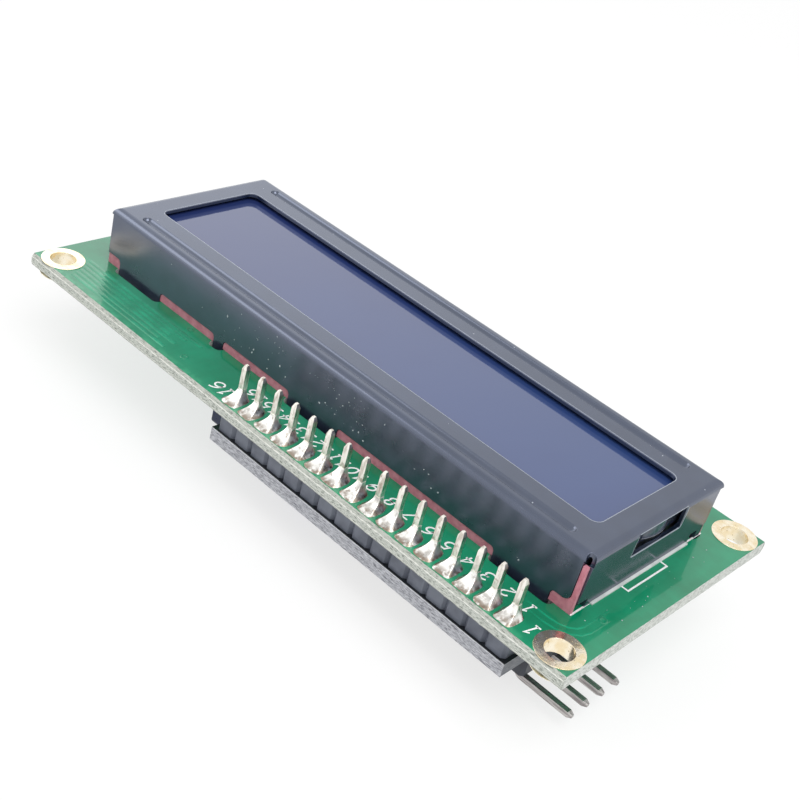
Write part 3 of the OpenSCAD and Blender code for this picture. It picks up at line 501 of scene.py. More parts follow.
CERAMIC = plain_plastic("white_ceramic", (208, 206, 198), (230, 228, 222), 0.5, 0.008)
RESISTOR = plain_plastic("resistor_film", (18, 18, 20), (32, 32, 35), 0.25, 0.01)
CAPACITOR = plain_plastic("tan_ceramic", (150, 122, 92), (176, 148, 116), 0.35, 0.01)

dress(green_board(), "lcd_board")
dress(GOLD, "hole_plating")
dress(black_paint(), "bezel")
dress(blue_polariser(), "front_polariser")
dress(two_tone("cell_glass", {"IOR": 1.52, "Transmission Weight": 0.85}, (4.0, 4.0),
               ((120, 140, 168), (186, 200, 214)), (0.4, 0.7), (0.14, 0.0), 0.01, 0.05),
      "front_glass", "rear_glass")
# Painted light: the rear polariser's blue is made brighter than its own, so that it shows in the cell's
# shade.
dress(two_tone("rear_polariser_painted_bright", {"IOR": 1.5}, (2.0, 3.0), ((72, 78, 218), (94, 100, 244)),
               (0.35, 0.65), (0.2, 0.2), 0.008), "rear_polariser")
dress(fill_resin(), "fill_plug")
dress(pink_elastomer(), "elastomer_strip_near", "elastomer_strip_far")
dress(plain_plastic("white_film", (206, 212, 210), (228, 232, 230), 0.5, 0.005),
      "diffuser_film", "reflector_film")
dress(plain_plastic("clear_acrylic", (196, 206, 220), (214, 222, 232), 0.05, 0.004,
                    {"Transmission Weight": 0.6}), "light_guide")
dress(LAMP_CASE, "backlight_lamp", "power_lamp")
dress(TINNED, "backlight_leads", "header_pins", "expander_leads", "trimmer_leads", "transistor_leads",
      "jumper_pins")
# The side header's pins are smoother and darker than the others, and drawn along their length
dress(two_tone("drawn_tin", {"Metallic": 1.0}, (4.0, 3.0, (0.12, 1, 1)),
               ((146, 140, 140), (194, 190, 188)), (0.35, 0.62), (0.12, 0.3), 0.01, 0.06), "side_header_pins")
dress(plain_plastic("black_epoxy", (12, 12, 14), (24, 24, 27), 0.14, 0.03), "controller_glob", "driver_glob")
dress(RESISTOR, "lcd_resistors", "adapter_resistors")
dress(CAPACITOR, "lcd_capacitors", "adapter_capacitors")
# Painted reflection: the black spacer is given a pale blue-grey that stands for the white floor it reflects.
dress(plain_plastic("spacer_painted_reflection", (92, 97, 110), (110, 115, 128), 0.32, 0.006), "header_spacer")
dress(plain_plastic("black_moulding", (44, 48, 58), (58, 62, 72), 0.3, 0.008),
      "side_header_block", "jumper_block")
dress(SOLDER, "lcd_board_solder", "adapter_solder")
dress(black_board(), "adapter_board")
dress(plain_plastic("chip_moulding", (24, 25, 27), (36, 37, 40), 0.5, 0.02), "expander_chip", "transistor")
dress(plain_plastic("blue_moulding", (20, 74, 178), (32, 92, 200), 0.22, 0.01), "trimmer_body")
dress(plain_plastic("white_moulding", (222, 216, 200), (238, 234, 222), 0.3, 0.01), "trimmer_rotor")
dress(plain_plastic("dark_blue_moulding", (14, 24, 58), (24, 38, 78), 0.2, 0.01), "jumper_cap")


# Shapes that are added to the solids
class Seat:
    """A place on a face: a runs along it, b across it and c out of it."""

    def __init__(self, centre, along, out):
        self.centre = Vector(centre)
        self.along = Vector(along).normalized()
        self.out = Vector(out).normalized()
        self.across = self.out.cross(self.along)

    def at(self, a, b, c):
        return self.centre + self.along * a + self.across * b + self.out * c


def round_line(centre, radius, sides):
    turn = [math.tau * i / sides for i in range(sides)]
    return [(centre[0] + radius * math.cos(a), centre[1] + radius * math.sin(a)) for a in turn]


class Form:
    """Collects closed shapes in millimetres and makes one piece of them."""

    def __init__(self):
        self.points = []
        self.faces = []
        self.kinds = []

    def rings(self, rings, kind=0, closed=False):
        """Skin over rings of equally many points. A closed one joins its last ring to its first."""
        count = len(rings[0])
        start = len(self.points)
        faces = []
        for row in range(len(rings) if closed else len(rings) - 1):
            low = start + row * count
            high = start + (row + 1) % len(rings) * count
            for i in range(count):
                j = (i + 1) % count
                faces.append([low + i, low + j, high + j, high + i])
        if not closed:
            last = start + (len(rings) - 1) * count
            faces.append([start + i for i in range(count)][::-1])
            faces.append([last + i for i in range(count)])
        self.points += [Vector(point) for ring in rings for point in ring]
        self.faces += faces
        self.kinds += [kind] * len(faces)

    def strip(self, line, width, low, high, slope=0.0, closed=False):
        """Raised strip along (x, y) points: its foot, at low, is wider by slope than its flat top."""
        spots = [Vector(spot) for spot in line]
        count = len(spots)
        sections = []
        for i, spot in enumerate(spots):
            before = spots[i - 1] if i or closed else spot
            after = spots[(i + 1) % count] if i < count - 1 or closed else spot
            arrive = (spot - before).normalized() if before != spot else (after - spot).normalized()
            leave = (after - spot).normalized() if after != spot else arrive
            mean = (arrive + leave).normalized()
            side = Vector((-mean.y, mean.x)) / max(mean.dot(leave), 0.5)
            top = side * width / 2
            foot = side * (width / 2 + slope)
            sections.append([(*(spot - foot), low), (*(spot - top), high), (*(spot + top), high),
                             (*(spot + foot), low)])
        self.rings(sections, closed=closed)

    def circle(self, centre, radius, width, low, high, slope=0.0, sides=32):
        self.strip(round_line(centre, radius, sides), width, low, high, slope, True)

    def disc(self, centre, radius, low, high, slope=0.0, sides=24):
        """Flat disc: its foot, at low, stands out by slope."""
        self.rings([[(*spot, level) for spot in round_line(centre, reach, sides)]
                    for reach, level in ((radius + slope, low), (radius, high))])

    def block(self, seat, low, high, radius, kind):
        """Box between two corners (a, b, c) of a seat, with rounded upright edges and a rounded top."""
        quarter = [math.pi / 2 * step / 2 for step in range(3)]
        profile = [(0.0, low[2])] + [(radius * (1 - math.cos(t)) * 0.95, high[2] - radius * (1 - math.sin(t)))
                                     for t in quarter]
        left, right = low[0] + radius, high[0] - radius
        near, far = low[1] + radius, high[1] - radius
        rings = []
        for inset, level in profile:
            ring = []
            for turn, (a, b) in enumerate(((right, far), (left, far), (left, near), (right, near))):
                for t in quarter:
                    angle = t + turn * math.pi / 2
                    reach = radius - inset
                    ring.append(seat.at(a + reach * math.cos(angle), b + reach * math.sin(angle), level))
            rings.append(ring)
        self.rings(rings, kind)

    def piece(self, name, body, slot, *finishes, smooth=35):
        shape = bmesh.new()
        corners = [shape.verts.new(point * MM) for point in self.points]
        for face, kind in zip(self.faces, self.kinds):
            made = shape.faces.new([corners[index] for index in face])
            made.material_index = kind
            made.smooth = True
        bmesh.ops.recalc_face_normals(shape, faces=shape.faces)
        mesh = bpy.data.meshes.new(name)
        shape.to_mesh(mesh)
        shape.free()
        mesh.set_sharp_from_angle(angle=math.radians(smooth))
        for finish in finishes:
            mesh.materials.append(finish.material)
        made = bpy.data.objects.new(name, mesh)
        bpy.context.scene.collection.objects.link(made)
        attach(made, body)
        return made


# Printed marks
def arc(cx, cy, rx, ry, start, end):
    steps = max(4, round(abs(end - start) / 20))
    turn = [math.radians(start + (end - start) * i / steps) for i in range(steps + 1)]
    return [(cx + rx * math.cos(a), cy + ry * math.sin(a)) for a in turn]


# Strokes of each figure in a box 0.6 wide and 1 high
FIGURES = {
    "0": [arc(0.3, 0.5, 0.3, 0.5, 90, 450)],
    "1": [[(0.1, 0.8), (0.3, 1), (0.3, 0)], [(0.1, 0), (0.5, 0)]],
    "2": [arc(0.3, 0.7, 0.3, 0.3, 165, -35) + [(0, 0), (0.6, 0)]],
    "3": [arc(0.27, 0.75, 0.27, 0.25, 150, -90) + arc(0.27, 0.25, 0.32, 0.26, 90, -150)],
    "4": [[(0.44, 0), (0.44, 1), (0, 0.32), (0.62, 0.32)]],
    "5": [[(0.56, 1), (0.1, 1), (0.05, 0.56)] + arc(0.27, 0.32, 0.32, 0.32, 120, -145)],
    "6": [arc(0.5, 0.5, 0.5, 0.5, 95, 180) + arc(0.3, 0.3, 0.3, 0.3, 180, 540)],
    "7": [[(0, 1), (0.6, 1), (0.2, 0)]],
    "8": [arc(0.3, 0.75, 0.26, 0.25, -90, 270), arc(0.3, 0.26, 0.3, 0.26, 90, 450)],
    "9": [arc(0.1, 0.5, 0.5, 0.5, -85, 0) + arc(0.3, 0.7, 0.3, 0.3, 0, 360)],
}


def write(form, text, centre, height, stroke, low, high, slant=0.25, mirrored=False):
    """Plain figures round a centre, in strokes of even width."""
    step = 0.82
    start = -(len(text) * step - (step - 0.6)) / 2
    for place, figure in enumerate(text):
        for line in FIGURES[figure]:
            spots = []
            for x, y in line:
                across = start + place * step + x + (y - 0.5) * slant
                across *= -height if mirrored else height
                spots.append((centre[0] + across, centre[1] + (y - 0.5) * height))
            joined = math.dist(spots[0], spots[-1]) < height * 0.02
            form.strip(spots[:-1] if joined else spots, stroke, low, high, 0.0, joined)


# Heights, widths and radii of print, copper and pads. SUNK is how far they go into their board, and
# OVER_TRACKS the height of print that crosses tracks
INK_DEPTH = 0.02
SUNK = 0.01
TRACK_DEPTH = 0.03
VIA_DEPTH = 0.012
OVER_TRACKS = 0.048
PAD_DEPTH = 0.03
OUTLINE = 0.15
FINE_STROKE = 0.13
TRACK_WIDTH = 0.26
VIA_RADIUS = 0.3
BACK = board_low.z
PLATE_BACK = plate_low.z


def back_seat(x, y, level, turn):
    """Seat on a back face at that level: out points down, and along turns from +X."""
    a = math.radians(turn)
    return Seat((x, y, level), (math.cos(a), math.sin(a), 0), (0, 0, -1))


# Print and copper on the display board's front
def board_print():
    """White marks on the display board's front: pin numbers, and the cell's outline at the bezel's end."""
    form = Form()
    low, high, stroke = -SUNK, INK_DEPTH, 0.2
    write(form, "1", (FIRST_PIN - 2.3, ROW_Y + 0.2), 1.6, stroke, low, high)
    write(form, "16", (LAST_PIN + 2.4, ROW_Y + 0.6), 1.6, stroke, low, high)
    for number in range(1, len(pin_boxes) + 1):
        place = (FIRST_PIN + (number - 1) * PITCH - 0.3, ROW_Y - 1.85)
        write(form, str(number), place, 1.45, stroke, low, high)
    side, side_low, side_high = WALL_X + 0.05, -12.3, 10.87
    film_low, film_high = box("reflector_film")
    form.strip([(side, side_high), (side, film_high.y + 0.05)], stroke, low, high)
    form.strip([(side, film_low.y - 0.05), (side, side_low)], stroke, low, high)
    edge, tab = film_low.x, film_low.x - 0.77
    tab_low, tab_high = -4.13, 2.8
    form.strip([(edge, tab_low), (tab, tab_low), (tab, tab_high), (edge, tab_high)], stroke, low, high)
    form.piece("board_print", MODULE, "green_board", INK)


def board_tracks():
    """Copper under the mask on the front: a bundle beside the bezel, two faint tracks by pin 1, some vias."""
    form = Form()
    low, high, faint = -SUNK, 0.016, 0.006
    spacing = 0.72
    for i in range(6):
        y = WALL_Y + 1.9 + i * spacing
        start = 15.6 + (i * 7) % 5 * 0.7 + i * 0.4
        form.strip([(start, y), (36.0 - i * 0.35, y)], 0.4, low, high, 0.12)
    for i in range(2):
        reach = 1.5 + i * 0.9
        corner = (WALL_X + 1.0, WALL_Y)
        turn = arc(corner[0], corner[1], 1.2 + reach, 0.4 + reach, 90, 180)
        form.strip([(FIRST_PIN + 0.6, corner[1] + 0.4 + reach)] + turn
                   + [(corner[0] - 1.2 - reach, corner[1] - 4.0 + i)], 0.16, low, faint, 0.1)
    vias = ((19.0, 11.7), (15.0, 15.8), (-37.4, 8.6), (24.5, -14.6), (-8.0, -15.2))
    for spot in vias:
        form.circle(spot, 0.34, 0.2, low, high + 0.008, 0.06)
    form.piece("board_tracks", MODULE, "green_board", TRACKS)


# Solder, broken edges and dust on the front
def header_fillets():
    """Hand-soldered fillets in place of the plain solids: blunt towards the board's edge, narrow behind."""
    form = Form()
    dice = random.Random(7)
    sides, levels = 48, 18
    neck = 0.38
    for solder, pin in zip(solids("lcd_board_solder"), pin_boxes):
        centre = middle(pin)
        half = (solder[1] - solder[0]) / 2
        reach = (half.x * 1.1, half.y * 0.99)
        shift = middle(solder).y - centre.y
        height = solder[1].z * dice.uniform(0.84, 1.0)
        phase = [dice.uniform(0, math.tau) for _ in range(4)]
        lean = dice.uniform(-0.14, 0.14)
        power = dice.uniform(1.7, 2.3)
        square = dice.uniform(0.4, 0.52)
        rings = []
        for level in range(levels + 1):
            up = level / levels
            spread = (1 - up) ** power
            ring = []
            for i in range(sides):
                a = math.tau * i / sides
                cos, sin = math.cos(a), math.sin(a)
                flank = square + (0.85 - square) * max(-sin, 0.0) * (1 - up)
                across = math.copysign(abs(cos) ** flank, cos)
                along = math.copysign(abs(sin) ** flank, sin)
                hollow = 1 - 0.16 * 4 * spread * (1 - spread) * abs(math.cos(2 * a))
                lump = (1 + 0.04 * math.sin(2 * a + phase[0] + up * 3)
                        + 0.03 * math.sin(5 * a + phase[1] - up * 5))
                waist = 1 - 0.12 * max(-sin, 0.0)
                x = centre.x + (neck + (reach[0] * waist - neck) * spread * lump * hollow) * across
                y = centre.y + (neck + (reach[1] - neck) * spread * lump * hollow) * along
                x += lean * spread * (1 - spread)
                ring.append((x, min(y + shift * spread, board_high.y - 0.3), height * up - SUNK * (1 - up)))
            rings.append(ring)
        form.rings(rings + [[(*spot, height * 0.98) for spot in round_line(centre, 0.1, sides)]])
    piece = form.piece("header_fillets", MODULE, "solder", SOLDER, smooth=60)
    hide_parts("lcd_board_solder")


def broken_edges():
    """Torn glass fibre on the scored bevels of both long edges."""
    form = Form()
    rows, step = 6, 0.08
    columns = int((board_high.x - board_low.x) / step)
    bevel_w, bevel_depth = 0.3, 0.45
    for side in (-1, 1):
        for face, inward in ((board_high.z, -1), (board_low.z, 1)):
            rings = []
            for column in range(columns + 1):
                x = board_low.x + 0.02 + (board_high.x - board_low.x - 0.04) * column / columns
                ring = []
                for row in range(rows + 1):
                    t = row / rows
                    y = board_high.y - bevel_w * (1 - t)
                    z = bevel_depth * t
                    ragged = noise.noise(Vector((x * 1.4, side * 9 + t * 3, face * 5)))
                    hair = noise.noise(Vector((x * 4.5, side * 5 + t * 9, face * 3)))
                    torn = max(0.0, 0.04 + 0.06 * ragged + 0.05 * hair)
                    out = torn * math.sin(math.pi * min(max(t, 0.06), 0.94))
                    ring.append((x, side * min(y + out * 0.8, board_high.y),
                                 face + inward * max(z - out * 0.55, 0)))
                ring.append((x, side * (board_high.y - 0.4), face + inward * 0.5))
                rings.append(ring)
            form.rings(rings)
    form.piece("broken_edges", MODULE, "green_board", EDGE, smooth=80)


def fleck(form, dice, spot, out, size, stretch):
    turn = out.to_track_quat("Z", "Y").to_matrix() @ Matrix.Rotation(dice.uniform(0, math.tau), 3, "Z")
    sides = 7
    foot = [dice.uniform(0.8, 1.15) * size for _ in range(sides)]
    rings = []
    for share, lift in ((1.0, -0.01), (0.75, 0.4 * size), (0.25, 0.6 * size)):
        ring = []
        for i in range(sides):
            a = math.tau * i / sides
            ring.append(spot + turn @ Vector((foot[i] * share * math.cos(a) * stretch,
                                              foot[i] * share * math.sin(a), min(lift, 0.04))))
        rings.append(ring)
    form.rings(rings)


def dust_flecks():
    """Flecks of dust on the bezel, most of them on its wall beside the header, and a few on the board."""
    form = Form()
    dice = random.Random(21)
    for _ in range(74):
        spot = Vector((dice.choice((dice.gauss(-4, 14), dice.gauss(9, 2.5), dice.gauss(-4, 2.5))), WALL_Y,
                       dice.uniform(1.4, 6.0)))
        if abs(spot.x) < 34:
            fleck(form, dice, spot, Vector((0, 1, 0)), dice.choice((0.03, 0.04, 0.05, 0.07, 0.1)),
                  dice.uniform(0.6, 1.8))
    for _ in range(18):
        spot = Vector((dice.uniform(-39, -36.4), dice.uniform(-12, 12), 0.0))
        fleck(form, dice, spot, Vector((0, 0, 1)), dice.choice((0.03, 0.04, 0.07)), dice.uniform(0.7, 1.5))
    form.piece("dust_flecks", MODULE, "black_paint", DUST, smooth=70)


# Small parts behind the boards
END_CAP = 0.4
WEDGE = 0.42


def solder_wedge(form, seat, start, width, height, kind):
    """Hollow-faced wedge of solder at start along a seat, leaning on what ends there."""
    out = math.copysign(1.0, start)
    rings = []
    for share, shrink in ((-0.5, 0.6), (-0.42, 0.9), (0.0, 1.0), (0.42, 0.9), (0.5, 0.6)):
        high = height * shrink
        reach = WEDGE * shrink
        section = ((0, -SUNK), (0, high), (0.12, high * 0.62), (0.3, high * 0.3), (0.62, high * 0.13),
                   (1, PAD_DEPTH), (1, -SUNK))
        foot, back = start - out * 0.02, start - out * 0.1
        rings.append([seat.at(foot + out * reach * a if a else back, width * share, c) for a, c in section])
    form.rings(rings, kind)


def chip_part(form, seat, length, width, height, crowned):
    """Chip resistor, or a capacitor if crowned: body, top, metal ends, solder and pads, as five kinds."""
    half = length / 2
    form.block(seat, (-half + 0.04, -width / 2 + 0.04, 0), (half - 0.04, width / 2 - 0.04, height - 0.04),
               0.08 if crowned else 0.03, 0)
    if not crowned:
        form.block(seat, (END_CAP - half, -width / 2 + 0.08, height - 0.1),
                   (half - END_CAP, width / 2 - 0.08, height), 0.03, 1)
    for side in (-1, 1):
        ends = sorted((side * half, side * (half - END_CAP)))
        form.block(seat, (ends[0], -width / 2, 0.01), (ends[1], width / 2, height), 0.07, 2)
        solder_wedge(form, seat, side * half, width * 0.96, height * (0.62 if crowned else 0.8), 3)
        pads = sorted((side * (half - END_CAP - 0.1), side * (half + WEDGE + 0.08)))
        form.block(seat, (pads[0], -width / 2 - 0.08, -SUNK), (pads[1], width / 2 + 0.08, PAD_DEPTH), 0.02, 4)


def part_seat(pair, level):
    """Seat under a small part, along its longer side, with its length, width and height."""
    size = pair[1] - pair[0]
    centre = middle(pair)
    turned = size.y > size.x
    seat = back_seat(centre.x, centre.y, level, 90 if turned else 0)
    return seat, max(size.x, size.y), min(size.x, size.y), size.z


def chip_row(name, node, level, slot, finishes, crowned):
    """Chip parts in the place of a node's plain solids."""
    form = Form()
    for pair in solids(node):
        chip_part(form, *part_seat(pair, level), crowned=crowned)
    piece = form.piece(name, MODULE, slot, *finishes, TINNED, SOLDER, TINNED)
    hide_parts(node)


def lamp_chip():
    """Power lamp: white base with gold ends, a clear crowned lens and its solder."""
    form = Form()
    seat, length, width, height = part_seat(box("power_lamp"), PLATE_BACK)
    half = length / 2
    base = 0.35
    form.block(seat, (-half + 0.03, -width / 2 + 0.03, 0), (half - 0.03, width / 2 - 0.03, base), 0.04, 0)
    for side in (-1, 1):
        ends = sorted((side * half, side * (half - END_CAP)))
        form.block(seat, (ends[0], -width / 2, 0.01), (ends[1], width / 2, base + 0.01), 0.04, 2)
        solder_wedge(form, seat, side * half, width * 0.96, base * 0.8, 3)
    form.block(seat, (-0.6, -width / 2 + 0.05, base), (0.6, width / 2 - 0.05, height), 0.2, 1)
    piece = form.piece("lamp_chip", MODULE, "lamp_case", LAMP_CASE, LENS, GOLD, SOLDER)
    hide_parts("power_lamp")


def lead_solder():
    """Solder at the feet of the chip's and the transistor's leads, on their pads."""
    form = Form()
    for node in ("expander_leads", "transistor_leads"):
        heart = middle(box(node))
        for pair in solids(node):
            out = 90 if middle(pair).y > heart.y else -90
            tip = pair[1].y if out > 0 else pair[0].y
            width = pair[1].x - pair[0].x
            seat = back_seat(middle(pair).x, tip, PLATE_BACK, out)
            solder_wedge(form, seat, 0.001, width * 1.15, 0.2, 0)
            for side in (-1, 1):
                ends = sorted((side * width / 2, side * (width / 2 + 0.09)))
                form.block(seat, (-0.7, ends[0], -SUNK), (0.05, ends[1], 0.1), 0.03, 0)
            form.block(seat, (-0.95, -width / 2 - 0.12, -SUNK), (0.5, width / 2 + 0.12, PAD_DEPTH), 0.02, 1)
    form.piece("lead_solder", MODULE, "solder", SOLDER, TINNED)


# Print and copper behind the boards
def ring_pads():
    """Tinned rings round the joints of both boards' backs and of the adapter's face."""
    form = Form()
    depth = PAD_DEPTH
    for node in ("adapter_solder", "backlight_leads"):
        for pair in solids(node):
            centre = middle(pair)
            if node == "backlight_leads":
                low, high = BACK + SUNK, BACK - depth
            elif centre.z < plate_low.z:
                low, high = PLATE_BACK + SUNK, PLATE_BACK - depth
            else:
                low, high = plate_high.z - SUNK, plate_high.z + depth
            form.circle(centre.xy, 0.86, 0.3, low, high, 0.02)
    for pair in solids("trimmer_leads"):
        form.circle(middle(pair).xy, 0.8, 0.3, plate_high.z - SUNK, plate_high.z + depth, 0.02)
    form.piece("ring_pads", MODULE, "solder", TINNED)


def back_print():
    """White rings round the resin globs, part outlines and pin numbers behind the display board."""
    form = Form()
    low, high = BACK - OVER_TRACKS, BACK + SUNK
    for node in ("controller_glob", "driver_glob"):
        glob = box(node)
        form.circle(middle(glob).xy, (glob[1].x - glob[0].x) / 2 + 0.35, 0.18, low, high, sides=72)
    for node in ("lcd_resistors", "lcd_capacitors"):
        for pair in solids(node):
            frame_line(form, pair, 0.75, 0.35, low, high)
    write(form, "16", (LAST_PIN + 2.4, ROW_Y), 1.5, 0.18, low, high, mirrored=True)
    form.piece("back_print", MODULE, "green_board", INK)


def frame_line(form, pair, beyond, beside, low, high):
    """White outline round a part, further out past its ends than beside it."""
    size = pair[1] - pair[0]
    grow = (beside, beyond) if size.y > size.x else (beyond, beside)
    x0, x1 = pair[0].x - grow[0], pair[1].x + grow[0]
    y0, y1 = pair[0].y - grow[1], pair[1].y + grow[1]
    form.strip([(x0, y0), (x1, y0), (x1, y1), (x0, y1)], OUTLINE, low, high, 0.0, True)


def adapter_print():
    """White outlines and plain pin numbers behind the adapter."""
    form = Form()
    low, high = PLATE_BACK - OVER_TRACKS, PLATE_BACK + SUNK
    for node in ("adapter_resistors", "adapter_capacitors", "power_lamp"):
        for pair in solids(node):
            frame_line(form, pair, 0.72, 0.32, low, high)
    for node, beside in (("trimmer_body", 0.3), ("side_header_block", 0.25), ("jumper_block", 0.25)):
        pair = box(node)
        grow = Vector((beside, beside, 0))
        frame_line(form, (pair[0] - grow, pair[1] + grow), 0, 0, low, high)
    chip = box("expander_chip")
    x0, x1, y0, y1 = chip[0].x - 0.5, chip[1].x + 0.5, chip[0].y - 0.1, chip[1].y + 0.1
    for x in (x0, x1):
        form.strip([(x, y0), (x, y1)], OUTLINE, low, high)
    form.disc((x0 - 0.6, y0), 0.22, low, high)
    write(form, "1", (FIRST_PIN, ROW_Y - 1.75), 1.0, FINE_STROKE, low, high, 0.0, mirrored=True)
    write(form, "16", (LAST_PIN - 0.2, ROW_Y - 1.95), 1.0, FINE_STROKE, low, high, 0.0, mirrored=True)
    for number, pair in enumerate(side_pins, 1):
        place = (box("side_header_block")[1].x + 1.1, middle(pair).y)
        write(form, str(number), place, 1.0, FINE_STROKE, low, high, 0.0, mirrored=True)
    form.piece("adapter_print", MODULE, "black_board", INK)


def glob_tracks():
    """Copper that fans out from under each resin glob, each track to its own via or pad."""
    form = Form()
    low, high = BACK + SUNK, BACK - TRACK_DEPTH
    for node, seed in (("controller_glob", 3), ("driver_glob", 4)):
        glob = box(node)
        centre = middle(glob)
        radius = (glob[1].x - glob[0].x) / 2
        count = 44
        for i in range(count):
            a = math.tau * (i + 0.5) / count
            steep = abs(math.sin(a)) > 0.72
            reach = radius + (2.4 + 0.55 * (i % 3) if steep else 3.4 + 0.7 * ((i + seed) % 3))
            first = Vector((math.cos(a), math.sin(a)))
            spots = [centre.xy + first * (radius - 0.6), centre.xy + first * (radius + 0.7)]
            last = centre.xy + first * reach
            if steep:
                last.x = spots[1].x + (last.x - spots[1].x) * 0.4
            spots.append(last)
            if not clear_of_parts(last):
                continue
            form.strip(spots, 0.2, low, high, 0.03)
            form.disc(last, VIA_RADIUS, low, high - VIA_DEPTH, 0.02, sides=16)
    for i in range(5):
        y = box("controller_glob")[1].y + 4.1 + i * 0.5
        for x, out in ((14 + i * 0.6, -0.9), (29.5 - i * 0.9, 0.9)):
            form.strip([(21, y), (x, y), (x + out, y + 0.5)], TRACK_WIDTH, low, high, 0.0)
            form.disc((x + out, y + 0.5), VIA_RADIUS, low, high - VIA_DEPTH, 0.02, sides=16)
    for x, y, shift in ((-12.5, -15.2, 0.55), (-11.5, -15.85, 0.5), (-10.5, -16.5, 0.5)):
        form.strip([(x, y), (18 + shift, y), (21 + shift, y + 2.2)], TRACK_WIDTH, low, high, 0.03)
    form.piece("glob_tracks", MODULE, "green_board", TRACKS)


def clear_of_parts(spot):
    """Whether a spot behind the display board keeps off its parts, slots and holes."""
    if abs(spot.x) > board_high.x - 1.5 or abs(spot.y) > board_high.y - 1.5:
        return False
    crowd = solids("lcd_resistors") + solids("lcd_capacitors") + solids("backlight_leads")
    crowd.append((Vector((-36, bezel_low.y - 0.4, 0)), Vector((36, bezel_low.y + 1.4, 0))))
    crowd.append((Vector((-36, bezel_high.y - 1.4, 0)), Vector((36, bezel_high.y + 0.4, 0))))
    return not any(low.x - 0.9 < spot.x < high.x + 0.9 and low.y - 0.9 < spot.y < high.y + 0.9
                   for low, high in crowd)


def adapter_tracks():
    """Copper behind the adapter: from the chip's leads to the header row and to the side header."""
    form = Form()
    low, high = PLATE_BACK + SUNK, PLATE_BACK - TRACK_DEPTH * 0.7
    chip = middle(box("expander_chip"))
    leads = solids("expander_leads")
    upper = [pair for pair in leads if middle(pair).y > chip.y]
    lower = [pair for pair in leads if middle(pair).y < chip.y]
    for i, pair in enumerate(upper):
        x = middle(pair).x
        joint = FIRST_PIN + PITCH * (i + 3 if i > 3 else i + 2)
        level = pair[1].y + 0.9 + 0.35 * min(i, 7 - i)
        form.strip([(x, pair[1].y), (x, level), (joint, level + abs(joint - x) * 0.25), (joint, ROW_Y - 0.8)],
                   TRACK_WIDTH, low, high, 0.02)
    side = middle(box("side_header_block")).x
    for i, pair in enumerate(lower[:4]):
        x = middle(pair).x
        level = pair[0].y - 0.8 - 0.5 * i
        goal = middle(side_pins[i]).y
        turn = side + 2.4 - 0.5 * i
        form.strip([(x, pair[0].y), (x, level), (turn + 1.0, level), (turn, level + 1.0), (turn, goal - 0.6),
                    (side + 1.6, goal)], TRACK_WIDTH, low, high, 0.02)
    for i, pair in enumerate(lower[4:]):
        x = middle(pair).x
        level = pair[0].y - 1.0 - 0.5 * (3 - i)
        form.strip([(x, pair[0].y), (x, level), (x + 5.5 + i, level), (x + 6.3 + i, level + 0.8)],
                   TRACK_WIDTH, low, high, 0.02)
        form.disc((x + 6.3 + i, level + 0.8), 0.34, low, high - VIA_DEPTH, 0.02, sides=16)
    form.piece("adapter_tracks", MODULE, "black_board", BLACK_TRACKS)


board_print()
board_tracks()
header_fillets()
broken_edges()
dust_flecks()
for carrier, node, level in (("board", "lcd", BACK), ("plate", "adapter", PLATE_BACK)):
    chip_row(carrier + "_resistors", node + "_resistors", level, "resistor_body", (CERAMIC, RESISTOR), False)
    chip_row(carrier + "_capacitors", node + "_capacitors", level, "capacitor_body", (CAPACITOR, CAPACITOR),
             True)
lamp_chip()
lead_solder()
ring_pads()
back_print()
adapter_print()
glob_tracks()
adapter_tracks()


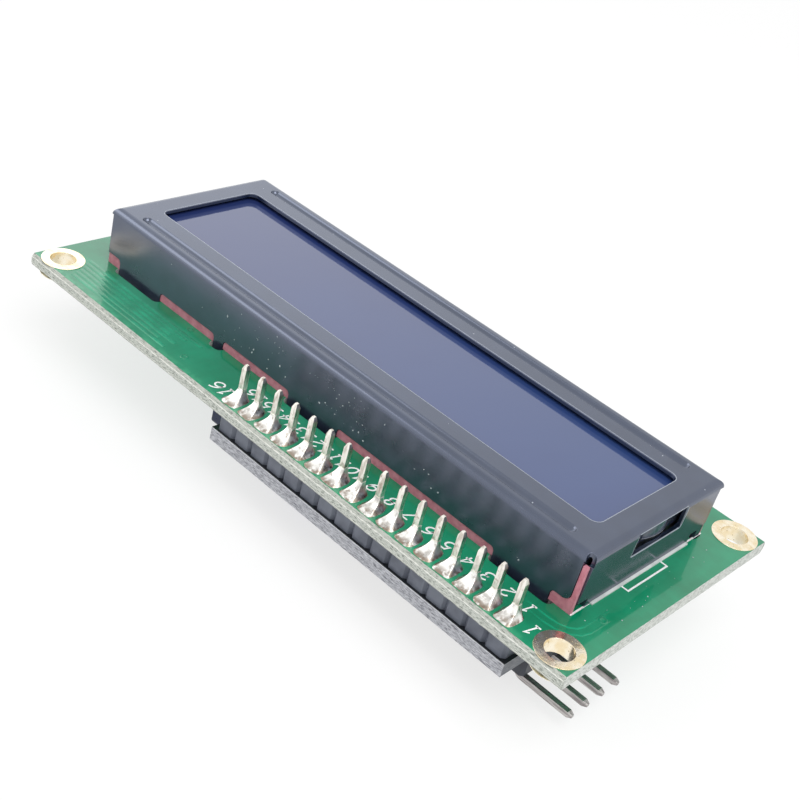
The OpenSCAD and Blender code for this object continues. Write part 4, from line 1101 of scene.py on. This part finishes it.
# Floor, light and camera
def plain_floor():
    """Pale floor that the camera and reflections see nearly white, with the object's soft shadow on it."""
    size = 3.0
    mesh = bpy.data.meshes.new("floor")
    level = cad_box[0].z - 0.00002
    corners = ((-size, -size), (size, -size), (size, size), (-size, size))
    mesh.from_pydata([(x, y, level) for x, y in corners], [], [(0, 1, 2, 3)])
    finish = Finish("pale_floor", {"Roughness": 0.9, "Specular IOR Level": 0.1, "Emission Strength": 1.0})
    seen = finish.seen_directly()
    cloud = finish.noise(0.01)
    pale = finish.mix((246, 246, 246), (249, 249, 249), cloud)
    shaded = finish.mix(grey(0.28), grey(0.29), cloud)
    finish.feed(
        Base_Color=finish.mix(pale, shaded, seen),
        Emission_Color=finish.mix(grey(0.0), grey(0.72), seen),
    )
    mesh.materials.append(finish.material)
    floor = bpy.data.objects.new("floor", mesh)
    bpy.context.scene.collection.objects.link(floor)


def grey(level):
    return (level, level, level, 1.0)


def studio_world():
    """White surroundings, a little brighter behind the far end, and softer as light than in reflections."""
    world = bpy.data.worlds.new("studio")
    bpy.context.scene.world = world
    sky = Shading(world, "Background")
    sky.shader.inputs["Color"].default_value = grey(1.0)
    toward = sky.parts(sky.node("ShaderNodeTexCoord", out="Generated"))
    brighter = toward[0].rise(0.25, 0.8) * toward[2].fall(0.5, 0.95) * 0.75
    sky.feed(Strength=sky.seen_directly() * (brighter + 0.38) + 0.62)


def soft_box(name, place, size, power):
    """Rectangular lamp turned to the middle of the model."""
    light = bpy.data.lights.new(name, "AREA")
    light.shape = "RECTANGLE"
    light.size, light.size_y = size
    light.energy = power
    lamp = bpy.data.objects.new(name, light)
    lamp.location = place
    lamp.rotation_mode = "QUATERNION"
    lamp.rotation_quaternion = (-Vector(place)).to_track_quat("-Z", "Y")
    bpy.context.scene.collection.objects.link(lamp)


def camera():
    """The photograph's view: place, point looked at and roll, fitted on the board and its pins."""
    place = Vector((-75.96, 104.64, 79.58)) * MM
    target = Vector((-2.31, -0.45, 0.03)) * MM
    roll = math.radians(15.7)
    data = bpy.data.cameras.new("camera")
    data.sensor_width = 36.0
    data.lens = 62.2
    data.clip_start = 0.005
    eye = bpy.data.objects.new("camera", data)
    eye.rotation_mode = "QUATERNION"
    turn = (target - place).to_track_quat("-Z", "Y").to_matrix() @ Matrix.Rotation(roll, 3, "Z")
    eye.rotation_quaternion = turn.to_quaternion()
    eye.location = place
    bpy.context.scene.collection.objects.link(eye)
    bpy.context.scene.camera = eye


bpy.context.scene.view_settings.view_transform = "Standard"
plain_floor()
studio_world()
soft_box("key", (-0.25, 0.1, 0.6), (0.5, 0.5), 2.4)
soft_box("fill", (0.5, 0.4, 0.35), (0.4, 0.3), 0.5)
camera()
